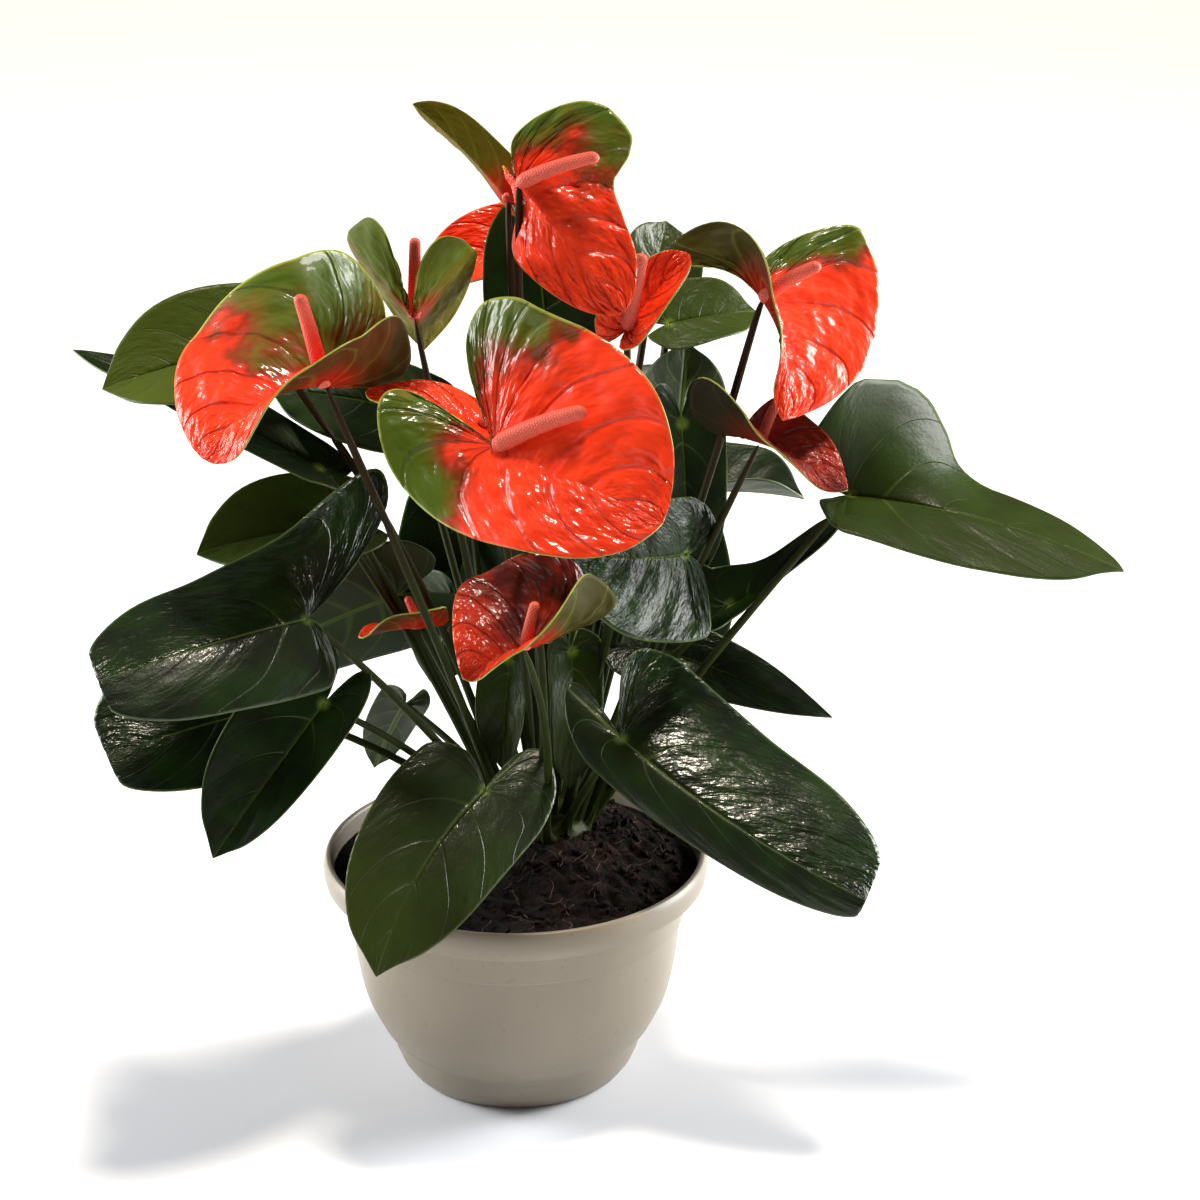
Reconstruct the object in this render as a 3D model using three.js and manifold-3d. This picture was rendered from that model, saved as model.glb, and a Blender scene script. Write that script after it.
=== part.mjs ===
import * as THREE from 'three';
import { mergeVertices } from 'three/addons/utils/BufferGeometryUtils.js';
import Module from 'manifold-3d';

const wasm = await Module();
wasm.setup();

// A flamingo flower in its nursery pot. Millimetres, Z up, the pot's base centre at the origin.
// The front of the plant faces -Y.

// Driving dimensions
const POT_HEIGHT = 110;
const POT_SIDES = 30;
const LEAF_THICKNESS = 0.8;
const SPATHE_THICKNESS = 0.8;
const CLEARANCE = 0.3;
const STALK_RADIUS = { foot: 2.2, top: 1.6 };
const STALK_SHORT = 1.5;
const STALK_SIDES = 5;
const STALK_STEPS = 4;
const CROWN = { x: 14, y: 16, radius: 23, foot: 70, top: 120 };
const SOIL_TOP = 101;
const SOIL_MOUND = { x: 22, y: 10, height: 16, radius: 78 };
const SPADIX_LIFT = 2;
const SPADIX_SIDES = 8;
const SPADIX_STEPS = 9;

// Pot wall as [radius, height], from the base centre up the outside and down the inside
const POT_WALL = [
  [0, 0], [50, 0], [52, 1.2], [55.5, 6], [58, 12], [59.3, 17], [60, 19], [63.6, 23.5],
  [68, 32], [71.5, 40], [74, 50], [76, 62], [77.3, 74], [77.6, 79], [79.2, 79.8],
  [79.6, 94.6], [87.6, 96], [89.4, 98.5], [90.2, 103], [89.8, 107.5], [88.6, POT_HEIGHT],
  [86.6, POT_HEIGHT], [86, 108.5], [85.6, 98.5], [77.2, 96.8], [75.6, 76], [74.2, 62],
  [72.2, 50], [69.6, 40], [66, 32], [61.6, 24], [57.4, 19.5], [56.4, 16], [53.6, 6],
  [50, 3], [0, 3],
];
// Soil against the inside of that wall, from the floor up
const SOIL_SIDE = [
  [49.6, 3.4], [53, 6.4], [55.8, 16], [56.8, 19.9], [61, 24.3], [65.4, 32.3], [69, 40.2],
  [71.6, 50.2], [73.6, 62.1], [75, 76], [76.6, 97.2], [85.1, 99], [85.1, SOIL_TOP],
];

// Half outlines from the joint round the back lobe to the tip. Negative x counts in lobe
// lengths, positive x in blade lengths, and y in half widths.
const OUTLINES = {
  leaf: [
    [0, 0], [-0.45, 0.08], [-0.88, 0.24], [-1, 0.5], [-0.62, 0.84], [0.02, 1], [0.34, 1],
    [0.62, 0.86], [0.82, 0.56], [0.93, 0.22], [1, 0],
  ],
  spathe: [
    [0, 0], [-0.5, 0.08], [-0.92, 0.24], [-1, 0.55], [-0.6, 0.88], [0.03, 1], [0.36, 0.97],
    [0.66, 0.8], [0.87, 0.5], [0.97, 0.2], [1, 0],
  ],
  heart: [
    [0, 0], [-0.5, 0.08], [-0.92, 0.24], [-1, 0.55], [-0.6, 0.9], [0, 1], [0.26, 0.93],
    [0.52, 0.72], [0.76, 0.42], [0.92, 0.16], [1, 0],
  ],
  hook: [
    [0, 0], [-0.5, 0.08], [-0.92, 0.24], [-1, 0.55], [-0.6, 0.95], [0, 0.7], [0.3, 0.42],
    [0.6, 0.3], [0.82, 0.22], [0.96, 0.1], [1, 0],
  ],
  blunt: [
    [0, 0], [-0.5, 0.08], [-0.92, 0.24], [-1, 0.55], [-0.6, 0.88], [0.03, 1], [0.4, 1],
    [0.72, 0.9], [0.94, 0.62], [1.02, 0.28], [1, 0],
  ],
  strap: [
    [0, 0], [-0.5, 0.08], [-0.92, 0.24], [-1, 0.55], [-0.6, 0.95], [0, 0.86], [0.3, 0.64],
    [0.6, 0.54], [0.82, 0.42], [0.96, 0.2], [1, 0],
  ],
  waisted: [
    [0, 0], [-0.6, 0.09], [-1, 0.24], [-1, 0.55], [-0.6, 0.86], [0.1, 1], [0.27, 0.9],
    [0.36, 0.62], [0.55, 0.5], [0.78, 0.38], [0.94, 0.18], [1, 0],
  ],
};

// What a blade has where its own row says nothing. Angles are in degrees, and pairs are
// left and right as seen from above with the tip pointing away.
const BLADE = {
  bend: 20, sway: 0, twist: 0, fold: [12, 12], collar: [0, 0], flare: [0, 0], swing: [0, 0],
  cup: [10, 10], lift: [10, 10], wave: 1.5, waves: 3,
};

// Each blade runs from its joint to its tip, and face is the way that its upper side looks.
// wide is the half width, lobe the length behind the joint, bend the droop along the midrib,
// sway the turn in its own plane, fold the rise of each half, collar and flare the extra rise
// towards the lobes and the tip, swing the turn of the lobes about the joint, cup the curl
// across each half and lift the curl of the lobes.
const LEAVES = [
  { name: 'leaf_front_left', joint: [-13, -35, 156], tip: [-60, -98, 94], face: [0.15, -0.8, 0.45],
    wide: [32, 35], lobe: [32, 12], swing: [18, -26], bend: 28, sway: 30, fold: [8, 4],
    cup: [-10, -14] },
  { name: 'leaf_front_right', joint: [49, -40, 184], tip: [157, -90, 128], face: [0.1, -0.75, 0.6],
    wide: [50, 19], lobe: [34, 34], bend: 18, sway: 20, fold: [-10, -10], collar: [10, 20],
    cup: [-20, -30], outline: ['blunt', 'blunt'], swing: [-30, 20], lift: [70, 10] },
  { name: 'leaf_right_mid', joint: [64, 34, 198], tip: [147, 2, 176], face: [0.1, -0.7, 0.65],
    wide: [18, 22], outline: ['heart', 'heart'], lobe: [30, 20] },
  { name: 'leaf_centre_gloss', joint: [78, -6, 260], tip: [25, -54, 278], face: [0.2, -1, -0.15],
    wide: [40, 26], lobe: [16, 16], fold: [24, -10], cup: [40, -20] },
  { name: 'leaf_dark_mid', joint: [77, 42, 306], tip: [79, 34, 226], face: [0.3, -0.95, 0.1],
    wide: [20, 24], lobe: [20, 20] },
  { name: 'leaf_far_right', joint: [153, 10, 282], tip: [275, -15, 255], face: [0.05, -0.3, 0.95],
    wide: [54, 36], lobe: [24, 14], bend: 16, sway: -14, fold: [-12, -2], collar: [95, 20],
    cup: [10, -10], outline: ['waisted', 'leaf'] },
  { name: 'leaf_right_twist', joint: [100, 22, 224], tip: [153, 10, 275], face: [-0.3, -0.5, 0.8],
    wide: [28, 28], lobe: [16, 16], bend: -30, fold: [32, 32], outline: ['hook', 'hook'] },
  { name: 'leaf_right_small', joint: [92, 65, 265], tip: [136, 70, 259], face: [0.1, -0.3, 0.95],
    wide: [26, 22], lobe: [14, 14], fold: [20, 45] },
  { name: 'leaf_back_right', joint: [72, 100, 336], tip: [114, 120, 336], face: [0.1, -0.6, 0.8],
    wide: [21, 19], lobe: [14, 14] },
  { name: 'leaf_back_top', joint: [64, 120, 349], tip: [71, 140, 375], face: [0.3, -0.7, 0.5],
    wide: [20, 22], lobe: [14, 14] },
  { name: 'leaf_olive_up', joint: [76, 70, 288], tip: [80, 92, 330], face: [0.2, 0.8, 0.3],
    wide: [22, 26], lobe: [16, 16] },
  { name: 'leaf_top_dark', joint: [15, 48, 350], tip: [9, 73, 413], face: [-0.2, -0.9, 0.3],
    wide: [27, 32], lobe: [20, 20], bend: 16 },
  { name: 'leaf_left_back', joint: [-48, 50, 309], tip: [-112, 48, 320], face: [0, -0.5, 0.85],
    wide: [38, 24], lobe: [22, 22] },
  { name: 'leaf_left_upper', joint: [-110, 20, 350], tip: [-182, 0, 336], face: [0, -0.5, 0.85],
    wide: [36, 32], lobe: [24, 24], fold: [10, 20] },
  { name: 'leaf_left_long', joint: [-88, 10, 295], tip: [-199, 30, 345], face: [0, -0.1, 0.95],
    wide: [30, 18], lobe: [14, 14], bend: 10 },
  { name: 'leaf_left_mid', joint: [-80, 10, 268], tip: [-142, -12, 262], face: [0, -0.5, 0.85],
    wide: [28, 28], lobe: [20, 20] },
  { name: 'leaf_left_big', joint: [-89, -55, 248], tip: [-176, -95, 235], face: [0, -0.75, 0.65],
    wide: [33, 46], lobe: [6, 74], bend: 24, fold: [12, -28], collar: [-12, 50],
    cup: [-30, -10], lift: [10, 50], swing: [0, -26], outline: ['blunt', 'blunt'] },
  { name: 'leaf_left_low', joint: [-110, -22, 191], tip: [-180, -55, 181], face: [-0.1, -0.6, 0.8],
    wide: [31, 42], lobe: [10, 20], fold: [-10, 10], outline: ['blunt', 'blunt'] },
  { name: 'leaf_left_hang', joint: [-84, -45, 203], tip: [-133, -75, 141], face: [-0.2, -0.9, 0.2],
    wide: [18, 30], lobe: [24, 24] },
  { name: 'leaf_pale_under', joint: [-55, 30, 226], tip: [-118, 22, 198], face: [0, 0.9, 0.4],
    wide: [30, 40], lobe: [24, 24], fold: [5, 5] },
  { name: 'leaf_back_low_left', joint: [-55, 70, 153], tip: [-72, 90, 111], face: [0, 0.8, 0.5],
    wide: [14, 13], lobe: [12, 12] },
  { name: 'leaf_olive_mid', joint: [-29, 50, 213], tip: [-42, 60, 170], face: [0.3, 0.9, 0.3],
    wide: [22, 22], lobe: [14, 14] },
  { name: 'leaf_inner_left', joint: [-2, 10, 202], tip: [-5, 0, 150], face: [-0.4, -0.9, 0.2],
    wide: [14, 14], lobe: [8, 8], fold: [22, 22] },
  { name: 'leaf_inner_right', joint: [26, 20, 202], tip: [25, 10, 136], face: [0.5, -0.8, 0.2],
    wide: [15, 16], lobe: [10, 10], fold: [14, 14] },
  { name: 'leaf_behind_right', joint: [62, 84, 236], tip: [78, 76, 160], face: [0.1, -0.9, 0.4],
    wide: [36, 34], lobe: [20, 20] },
  { name: 'leaf_behind_left', joint: [-22, 90, 246], tip: [-34, 84, 168], face: [-0.2, -0.9, 0.3],
    wide: [32, 32], lobe: [18, 18] },
  { name: 'leaf_behind_mid', joint: [20, 106, 232], tip: [24, 104, 150], face: [0, -1, 0.2],
    wide: [34, 34], lobe: [18, 18] },
  { name: 'leaf_rear_left', joint: [-26, 110, 290], tip: [-48, 176, 262], face: [0, 0.5, 0.85],
    wide: [34, 34], lobe: [22, 22] },
  { name: 'leaf_rear_mid', joint: [40, 130, 296], tip: [52, 196, 262], face: [0, 0.5, 0.85],
    wide: [36, 36], lobe: [22, 22] },
];

// A spathe's row also has the reach and radius of its spadix
const SPATHES = [
  { name: 'centre', joint: [-4, -110, 347], tip: [65, -148, 327], face: [-0.1, -0.8, 0.6],
    wide: [60, 39], lobe: [54, 50], fold: [6, 6], cup: [20, -10], lift: [10, 30],
    swing: [-33, 19], wave: 3, spadix: [38, -14, 20], thick: 4 },
  { name: 'top', joint: [4, 0, 430], tip: [50, -25, 379], face: [0, -0.9, 0.4],
    wide: [52, 24], lobe: [18, 12], fold: [-5, -15], collar: [0, -80],
    outline: ['waisted', 'spathe'], spadix: [35, -12, 15], thick: 3.4 },
  { name: 'top_back', joint: [-2, 34, 414], tip: [-44, 52, 453], face: [0.5, 0.8, 0.2],
    wide: [15, 15], lobe: [10, 10], fold: [35, 35], spadix: [2, 19, 6], thick: 2.4 },
  { name: 'small_top', joint: [52, 15, 360], tip: [79, 30, 390], face: [-0.3, -0.8, 0.2],
    wide: [16, 16], lobe: [12, 10], fold: [30, 40], spadix: [6, -10, 37], thick: 3.8 },
  { name: 'left', joint: [-80, -35, 349], tip: [-131, -65, 326], face: [-0.2, -0.4, 0.8],
    wide: [40, 62], lobe: [38, 44], bend: 70, fold: [45, 10], collar: [30, 100],
    flare: [-60, 0], swing: [15, -22], outline: ['strap', 'spathe'], cup: [20, -20],
    lift: [10, 40], spadix: [-9, -10, 44], thick: 3.6 },
  { name: 'left_inner', joint: [-43, 10, 366], tip: [-41, 50, 339], face: [0, 0.6, 0.75],
    wide: [46, 42], lobe: [64, 50], fold: [45, 45], lift: [60, 40],
    spadix: [1, 0, 37], thick: 3 },
  { name: 'back_red', joint: [6, 84, 381], tip: [-44, 74, 360], face: [0, -0.4, 0.9],
    wide: [20, 22], lobe: [14, 14], fold: [10, 30], spadix: [-8, 8, 14], thick: 2.4 },
  { name: 'right', joint: [111, 10, 375], tip: [120, -20, 328], face: [0.9, -0.2, 0.2],
    wide: [60, 24], lobe: [18, 44], bend: 50, fold: [36, 10], collar: [20, 100],
    flare: [0, -80], outline: ['heart', 'hook'], cup: [20, -20], lift: [0, -75],
    spadix: [25, -12, 19], thick: 3.4 },
  { name: 'dark_right', joint: [111, 0, 311], tip: [149, -27, 298], face: [0.3, -0.3, 0.85],
    wide: [24, 36], lobe: [12, 22], fold: [20, 20], collar: [10, 60], lift: [10, -50],
    flare: [0, -40], outline: ['heart', 'hook'], spadix: [8, 6, 18], thick: 2.6 },
  { name: 'low', joint: [7, -90, 248], tip: [-19, -108, 242], face: [-0.5, -0.2, 0.8],
    wide: [30, 42], lobe: [46, 50], fold: [20, 50], collar: [60, 30], flare: [-50, 0],
    lift: [0, 50], outline: ['hook', 'heart'], cup: [10, -20],
    spadix: [5, 0, 22], thick: 2.6 },
  { name: 'hidden', joint: [-43, 4, 220], tip: [-68, -16, 223], face: [0, 0.6, 0.8],
    wide: [18, 18], lobe: [10, 10], spadix: [-6, 4, 14], thick: 2.2 },
  { name: 'behind', joint: [-13, -30, 329], tip: [-63, -25, 343], face: [0, -0.2, 0.9],
    wide: [24, 18], lobe: [20, 16], fold: [10, 0], spadix: [14, 4, 12], thick: 2.4 },
];

const BLADE_STEPS = 20;
const radians = THREE.MathUtils.degToRad;

function vector(values) {
  return new THREE.Vector3(...values);
}

// Moving frame along a midrib, then turned and scaled so that it ends at the tip
function midribFrames(blade) {
  const x = vector([1, 0, 0]);
  const y = vector([0, 1, 0]);
  const z = vector([0, 0, 1]);
  const place = new THREE.Vector3();
  const frames = [{ place: place.clone(), along: x.clone(), side: y.clone(), up: z.clone() }];
  const turns = [radians(blade.bend), radians(blade.sway), radians(blade.twist)];
  for (let step = 0; step < BLADE_STEPS; step += 1) {
    const before = x.clone();
    const about = [y, z, x];
    for (let axis = 0; axis < 3; axis += 1) {
      const turn = new THREE.Quaternion().setFromAxisAngle(about[axis].clone(), turns[axis] / BLADE_STEPS);
      for (const arm of [x, y, z]) {
        arm.applyQuaternion(turn);
      }
    }
    place.addScaledVector(before.add(x).normalize(), 1 / BLADE_STEPS);
    frames.push({ place: place.clone(), along: x.clone(), side: y.clone(), up: z.clone() });
  }
  const joint = vector(blade.joint);
  const chord = vector(blade.tip).sub(joint);
  const length = chord.length() / place.length();
  const from = basis(place, vector([0, 0, 1]));
  const to = basis(chord, vector(blade.face));
  const turn = to.multiply(from.transpose());
  for (const frame of frames) {
    frame.place.multiplyScalar(length).applyMatrix4(turn).add(joint);
    frame.along.applyMatrix4(turn);
    frame.side.applyMatrix4(turn);
    frame.up.applyMatrix4(turn);
  }
  return { frames, length };
}

// Axes with x along the chord and z as near to the face as a right angle allows
function basis(chord, face) {
  const along = chord.clone().normalize();
  const up = face.clone().addScaledVector(along, -face.dot(along)).normalize();
  const side = up.clone().cross(along);
  return new THREE.Matrix4().makeBasis(along, side, up);
}

// The frame at a distance from the joint, along the midrib or back along a lobe
function frameAt(blade, spine, distance, half) {
  if (distance >= 0) {
    const share = Math.min(distance / spine.length, 1) * BLADE_STEPS;
    const step = Math.min(Math.floor(share), BLADE_STEPS - 1);
    const [a, b] = [spine.frames[step], spine.frames[step + 1]];
    const mix = (arm) => a[arm].clone().lerp(b[arm], share - step);
    return { place: mix('place'), side: mix('side'), up: mix('up') };
  }
  const { place, along, side, up } = spine.frames[0];
  const lift = radians(blade.lift[half]);
  const turn = lift * (-distance / blade.lobe[half]);
  const radius = lift === 0 ? 0 : blade.lobe[half] / lift;
  const back = lift === 0 ? distance : -radius * Math.sin(turn);
  return {
    place: place.clone().addScaledVector(along, back).addScaledVector(up, radius * (1 - Math.cos(turn))),
    side,
    up: up.clone().multiplyScalar(Math.cos(turn)).addScaledVector(along, Math.sin(turn)),
  };
}

// A point of the middle surface: round runs from the sinus to the tip, across from the
// midrib to the margin
function bladePoint(blade, spine, outline, half, round, across) {
  const edge = outline.getPoint(round);
  const edgeX = edge.x * (edge.x < 0 ? blade.lobe[half] : spine.length);
  const root = Math.max(0, 2 * round - 1) * spine.length;
  const flatX = root + (edgeX - root) * across;
  const flatY = edge.y * blade.wide[half] * across;
  const angle = Math.atan2(flatY, flatX);
  const swing = radians(blade.swing[half]) * THREE.MathUtils.smoothstep(angle, 1, Math.PI);
  const x = Math.hypot(flatX, flatY) * Math.cos(angle + swing);
  const y = Math.hypot(flatX, flatY) * Math.sin(angle + swing);
  const { place, side, up } = frameAt(blade, spine, x, half);
  const reach = 0.5 * spine.length;
  const towardsLobe = THREE.MathUtils.smoothstep((reach - x) / (reach + blade.lobe[half]), 0, 1);
  const towardsTip = THREE.MathUtils.smoothstep(x / spine.length, 0.3, 1);
  const fold = radians(
    blade.fold[half] + blade.collar[half] * towardsLobe + blade.flare[half] * towardsTip,
  );
  const curl = radians(blade.cup[half]) / blade.wide[half];
  const out = curl === 0 ? y * Math.cos(fold) : (Math.sin(fold + curl * y) - Math.sin(fold)) / curl;
  const bowed = curl === 0 ? y * Math.sin(fold) : (Math.cos(fold) - Math.cos(fold + curl * y)) / curl;
  const swell = Math.sin(2 * Math.PI * blade.waves * round + 2 * half);
  const fade = across * across * Math.min(1, 5 * round) * (1 - round ** 4);
  const rise = bowed + blade.wave * swell * fade;
  return place.addScaledVector(side, half === 0 ? out : -out).addScaledVector(up, rise);
}

// Corners and triangles of the middle surface, its two halves sharing the midrib
function bladeSurface(blade, rows, columns) {
  const spine = midribFrames(blade);
  const corners = [];
  const found = new Map();
  const corner = (point) => {
    const key = point.toArray().map((value) => value.toFixed(3)).join();
    if (!found.has(key)) {
      found.set(key, corners.length);
      corners.push(point);
    }
    return found.get(key);
  };
  const faces = [];
  for (const half of [0, 1]) {
    const edge = OUTLINES[blade.outline[half]].map(([x, y]) => new THREE.Vector2(x, y));
    const outline = new THREE.SplineCurve(edge);
    const grid = [];
    for (let row = 0; row <= rows; row += 1) {
      grid.push([]);
      for (let column = 0; column <= columns; column += 1) {
        const point = bladePoint(blade, spine, outline, half, row / rows, column / columns);
        grid[row].push(corner(point));
      }
    }
    for (let row = 0; row < rows; row += 1) {
      for (let column = 0; column < columns; column += 1) {
        const near = grid[row];
        const far = grid[row + 1];
        const ring = [near[column], far[column], far[column + 1], near[column + 1]];
        const distinct = [...new Set(half === 0 ? ring : ring.reverse())];
        for (let last = 2; last < distinct.length; last += 1) {
          faces.push([distinct[0], distinct[last - 1], distinct[last]]);
        }
      }
    }
  }
  return { corners, faces };
}

// A closed sheet: the surface offset half the thickness each way, with walls at its margin,
// which the spread moves outwards
function thicken({ corners, faces }, thickness, spread) {
  const normals = corners.map(() => new THREE.Vector3());
  const sides = new Map();
  for (const face of faces) {
    const [a, b, c] = face.map((index) => corners[index]);
    const normal = b.clone().sub(a).cross(c.clone().sub(a));
    face.forEach((index, place) => {
      normals[index].add(normal);
      sides.set(`${index},${face[(place + 1) % 3]}`, [index, face[(place + 1) % 3]]);
    });
  }
  normals.forEach((normal) => normal.normalize());
  const under = corners.length;
  const outward = corners.map(() => new THREE.Vector3());
  const indices = [];
  for (const [a, b] of sides.values()) {
    if (!sides.has(`${b},${a}`)) {
      indices.push(b, a, under + a, b, under + a, under + b);
      for (const index of [a, b]) {
        outward[index].add(corners[b].clone().sub(corners[a]).normalize().cross(normals[index]));
      }
    }
  }
  for (const [a, b, c] of faces) {
    indices.push(a, b, c, under + a, under + c, under + b);
  }
  const positions = [];
  for (const sign of [1, -1]) {
    corners.forEach((point, index) => {
      const margin = outward[index].clone().normalize().multiplyScalar(spread);
      const offset = normals[index].clone().multiplyScalar(sign * thickness / 2);
      positions.push(...margin.add(point).add(offset).toArray());
    });
  }
  return solidOf(positions, indices);
}

function solidOf(positions, indices) {
  const geometry = new THREE.BufferGeometry();
  geometry.setAttribute('position', new THREE.Float32BufferAttribute(positions, 3));
  geometry.setIndex(indices);
  return solid(geometry);
}

function solid(geometry) {
  const bare = geometry.clone();
  bare.deleteAttribute('normal');
  bare.deleteAttribute('uv');
  const merged = mergeVertices(bare, 1e-4);
  return new wasm.Manifold(new wasm.Mesh({
    numProp: 3,
    vertProperties: Float32Array.from(merged.attributes.position.array),
    triVerts: Uint32Array.from(merged.index.array),
  }));
}

// The largest separate body, without the slivers that a cut may leave
function largest(body) {
  return body.decompose().reduce((a, b) => (a.volume() >= b.volume() ? a : b));
}

function meshOf(name, body, colour, roughness) {
  const { vertProperties, triVerts } = body.getMesh();
  const geometry = new THREE.BufferGeometry();
  geometry.setAttribute('position', new THREE.BufferAttribute(Float32Array.from(vertProperties), 3));
  geometry.setIndex(new THREE.BufferAttribute(Uint32Array.from(triVerts), 1));
  geometry.computeVertexNormals();
  const material = new THREE.MeshStandardMaterial({ color: colour, roughness, metalness: 0 });
  const mesh = new THREE.Mesh(geometry, material);
  mesh.name = name;
  return mesh;
}

// A profile of [radius, height] pairs turned about the Z axis
function turned(profile, sides) {
  const points = profile.map(([radius, height]) => new THREE.Vector2(radius, height));
  return new THREE.LatheGeometry(points, sides).rotateX(Math.PI / 2);
}

// A closed tube through rings of the given radii, with flat ends
function tube(curve, steps, sides, radiusAt) {
  const positions = [];
  const indices = [];
  const frames = curve.computeFrenetFrames(steps, false);
  for (let step = 0; step <= steps; step += 1) {
    const centre = curve.getPointAt(step / steps);
    for (let side = 0; side < sides; side += 1) {
      const angle = (2 * Math.PI * side) / sides;
      const radius = radiusAt(step, side);
      const point = centre.clone()
        .addScaledVector(frames.normals[step], radius * Math.cos(angle))
        .addScaledVector(frames.binormals[step], radius * Math.sin(angle));
      positions.push(...point.toArray());
    }
  }
  const ends = positions.length / 3;
  positions.push(...curve.getPointAt(0).toArray(), ...curve.getPointAt(1).toArray());
  for (let side = 0; side < sides; side += 1) {
    const next = (side + 1) % sides;
    for (let step = 0; step < steps; step += 1) {
      const [a, b] = [step * sides + side, step * sides + next];
      indices.push(a, b, b + sides, a, b + sides, a + sides);
    }
    const last = steps * sides;
    indices.push(ends, next, side, ends + 1, last + side, last + next);
  }
  return solidOf(positions, indices);
}

// A stalk rises from the crown and leans out to its blade, its middle moved by the shift
function stalk(blade, shift) {
  const joint = vector(blade.joint);
  const centre = vector([CROWN.x, CROWN.y, 0]);
  const lean = joint.clone().setZ(0).sub(centre);
  const out = Math.min(0.2 * lean.length(), CROWN.radius - STALK_RADIUS.foot - 3);
  const root = centre.addScaledVector(lean.clone().normalize(), out).setZ(CROWN.top - 6);
  const middle = root.clone().lerp(joint, 0.45).add(shift);
  middle.z += 0.12 * lean.length();
  const end = joint.clone().add(middle.clone().sub(joint).setLength(STALK_SHORT));
  const curve = new THREE.QuadraticBezierCurve3(root, middle, end);
  const radiusAt = (step) => THREE.MathUtils.lerp(STALK_RADIUS.foot, STALK_RADIUS.top, step / STALK_STEPS);
  return tube(curve, STALK_STEPS, STALK_SIDES, radiusAt);
}

// The first stalk that no blade cuts through, trying wider and wider bends
function clearStalk(blade, blades) {
  for (let bend = 0; bend <= 120; bend += 12) {
    for (let turn = 0; turn < 12; turn += 1) {
      const angle = (turn * Math.PI) / 6;
      const shift = vector([bend * Math.cos(angle), bend * Math.sin(angle), 0]);
      const whole = stalk(blade, shift);
      const left = blades.reduce((body, other) => body.subtract(other), whole);
      if (largest(left).volume() > 0.97 * whole.volume()) {
        return whole;
      }
      if (bend === 0) {
        break;
      }
    }
  }
  throw new Error(`No clear way for the stalk of ${blade.name}`);
}

// The flower spike is studded with small florets, alternate ones raised
function spadixOf(blade, grow) {
  const reach = vector(blade.spadix);
  const start = vector(blade.joint).add(reach.clone().setLength(SPADIX_LIFT - grow));
  const end = vector(blade.joint).add(reach).add(reach.clone().setLength(grow));
  const middle = start.clone().lerp(end, 0.5);
  middle.z += 0.04 * reach.length();
  const curve = new THREE.QuadraticBezierCurve3(start, middle, end);
  const radiusAt = (step, side) => {
    const along = step / SPADIX_STEPS;
    const taper = blade.thick * (1 - 0.25 * along) * (along === 1 ? 0.45 : 1);
    return taper + grow + ((step + side) % 2 === 0 ? 0.25 : -0.15);
  };
  return tube(curve, SPADIX_STEPS, SPADIX_SIDES, radiusAt);
}

function leafOf(row, grow) {
  return thicken(bladeSurface(row, 9, 2), LEAF_THICKNESS + 2 * grow, grow);
}

function spatheOf(row, grow) {
  return thicken(bladeSurface(row, 10, 3), SPATHE_THICKNESS + 2 * grow, grow);
}

// Lumps in the soil, from a fixed mix of waves
function lump(x, y) {
  const broad = Math.sin(x / 11 + 1) * Math.cos(y / 13);
  const fine = Math.sin(x / 5 + y / 7) * Math.cos(y / 4 - x / 9);
  return 1.4 * broad + 0.8 * fine;
}

function mound(x, y) {
  const away = Math.hypot(x - SOIL_MOUND.x, y - SOIL_MOUND.y) / SOIL_MOUND.radius;
  return SOIL_MOUND.height * (1 - THREE.MathUtils.smoothstep(away, 0, 1));
}

function soilBody() {
  const sides = 24;
  const tops = [70, 52, 36, 24, 0].map((radius) => [radius, SOIL_TOP]);
  const geometry = turned([[0, 3.4], ...SOIL_SIDE, ...tops], sides);
  const position = geometry.attributes.position;
  for (let index = 0; index < position.count; index += 1) {
    const [x, y, z] = [position.getX(index), position.getY(index), position.getZ(index)];
    const radius = Math.hypot(x, y);
    if (z > SOIL_TOP - 0.5 && radius < 84) {
      position.setZ(index, z + mound(x, y) + lump(x, y));
    }
  }
  return solid(geometry);
}

function crownBody() {
  const { radius, foot, top } = CROWN;
  const profile = [
    [0, foot], [0.6 * radius, foot], [radius, foot + 14], [radius, top - 8], [0.8 * radius, top], [0, top],
  ];
  return solid(turned(profile, 12).translate(CROWN.x, CROWN.y, 0));
}

// The hole that the crown stands in: straight, and open above
function crownHole() {
  const { radius, foot, top } = CROWN;
  const wide = radius + 2 * CLEARANCE;
  const profile = [[0, foot - CLEARANCE], [wide, foot - CLEARANCE], [wide, top + 20], [0, top + 20]];
  return solid(turned(profile, 12).translate(CROWN.x, CROWN.y, 0));
}

const leaves = LEAVES.map((row) => ({ ...BLADE, outline: ['leaf', 'leaf'], ...row }));
const spathes = SPATHES.map((row) => ({ ...BLADE, outline: ['spathe', 'spathe'], ...row }));

const plant = new THREE.Group();
plant.name = 'flamingo_flower';
plant.add(meshOf('pot', solid(turned(POT_WALL, POT_SIDES)), '#b8b2a8', 0.45));
plant.add(meshOf('soil', soilBody().subtract(crownHole()), '#2a1a12', 1));

const keepClear = [];
for (const row of leaves) {
  plant.add(meshOf(row.name, leafOf(row, 0), '#1f4a1c', 0.3));
  keepClear.push(leafOf(row, CLEARANCE));
}
for (const row of spathes) {
  const roomy = spatheOf(row, CLEARANCE);
  plant.add(meshOf(`spathe_${row.name}`, spatheOf(row, 0), '#e23a22', 0.25));
  plant.add(meshOf(`spadix_${row.name}`, largest(spadixOf(row, 0).subtract(roomy)), '#e0765c', 0.6));
  keepClear.push(roomy, spadixOf(row, CLEARANCE));
}
let stems = crownBody();
for (const row of [...leaves, ...spathes]) {
  stems = stems.add(clearStalk(row, keepClear));
}
for (const body of keepClear) {
  stems = stems.subtract(body);
}
plant.add(meshOf('stems', largest(stems), '#4a5a26', 0.5));

export default plant;
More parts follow.
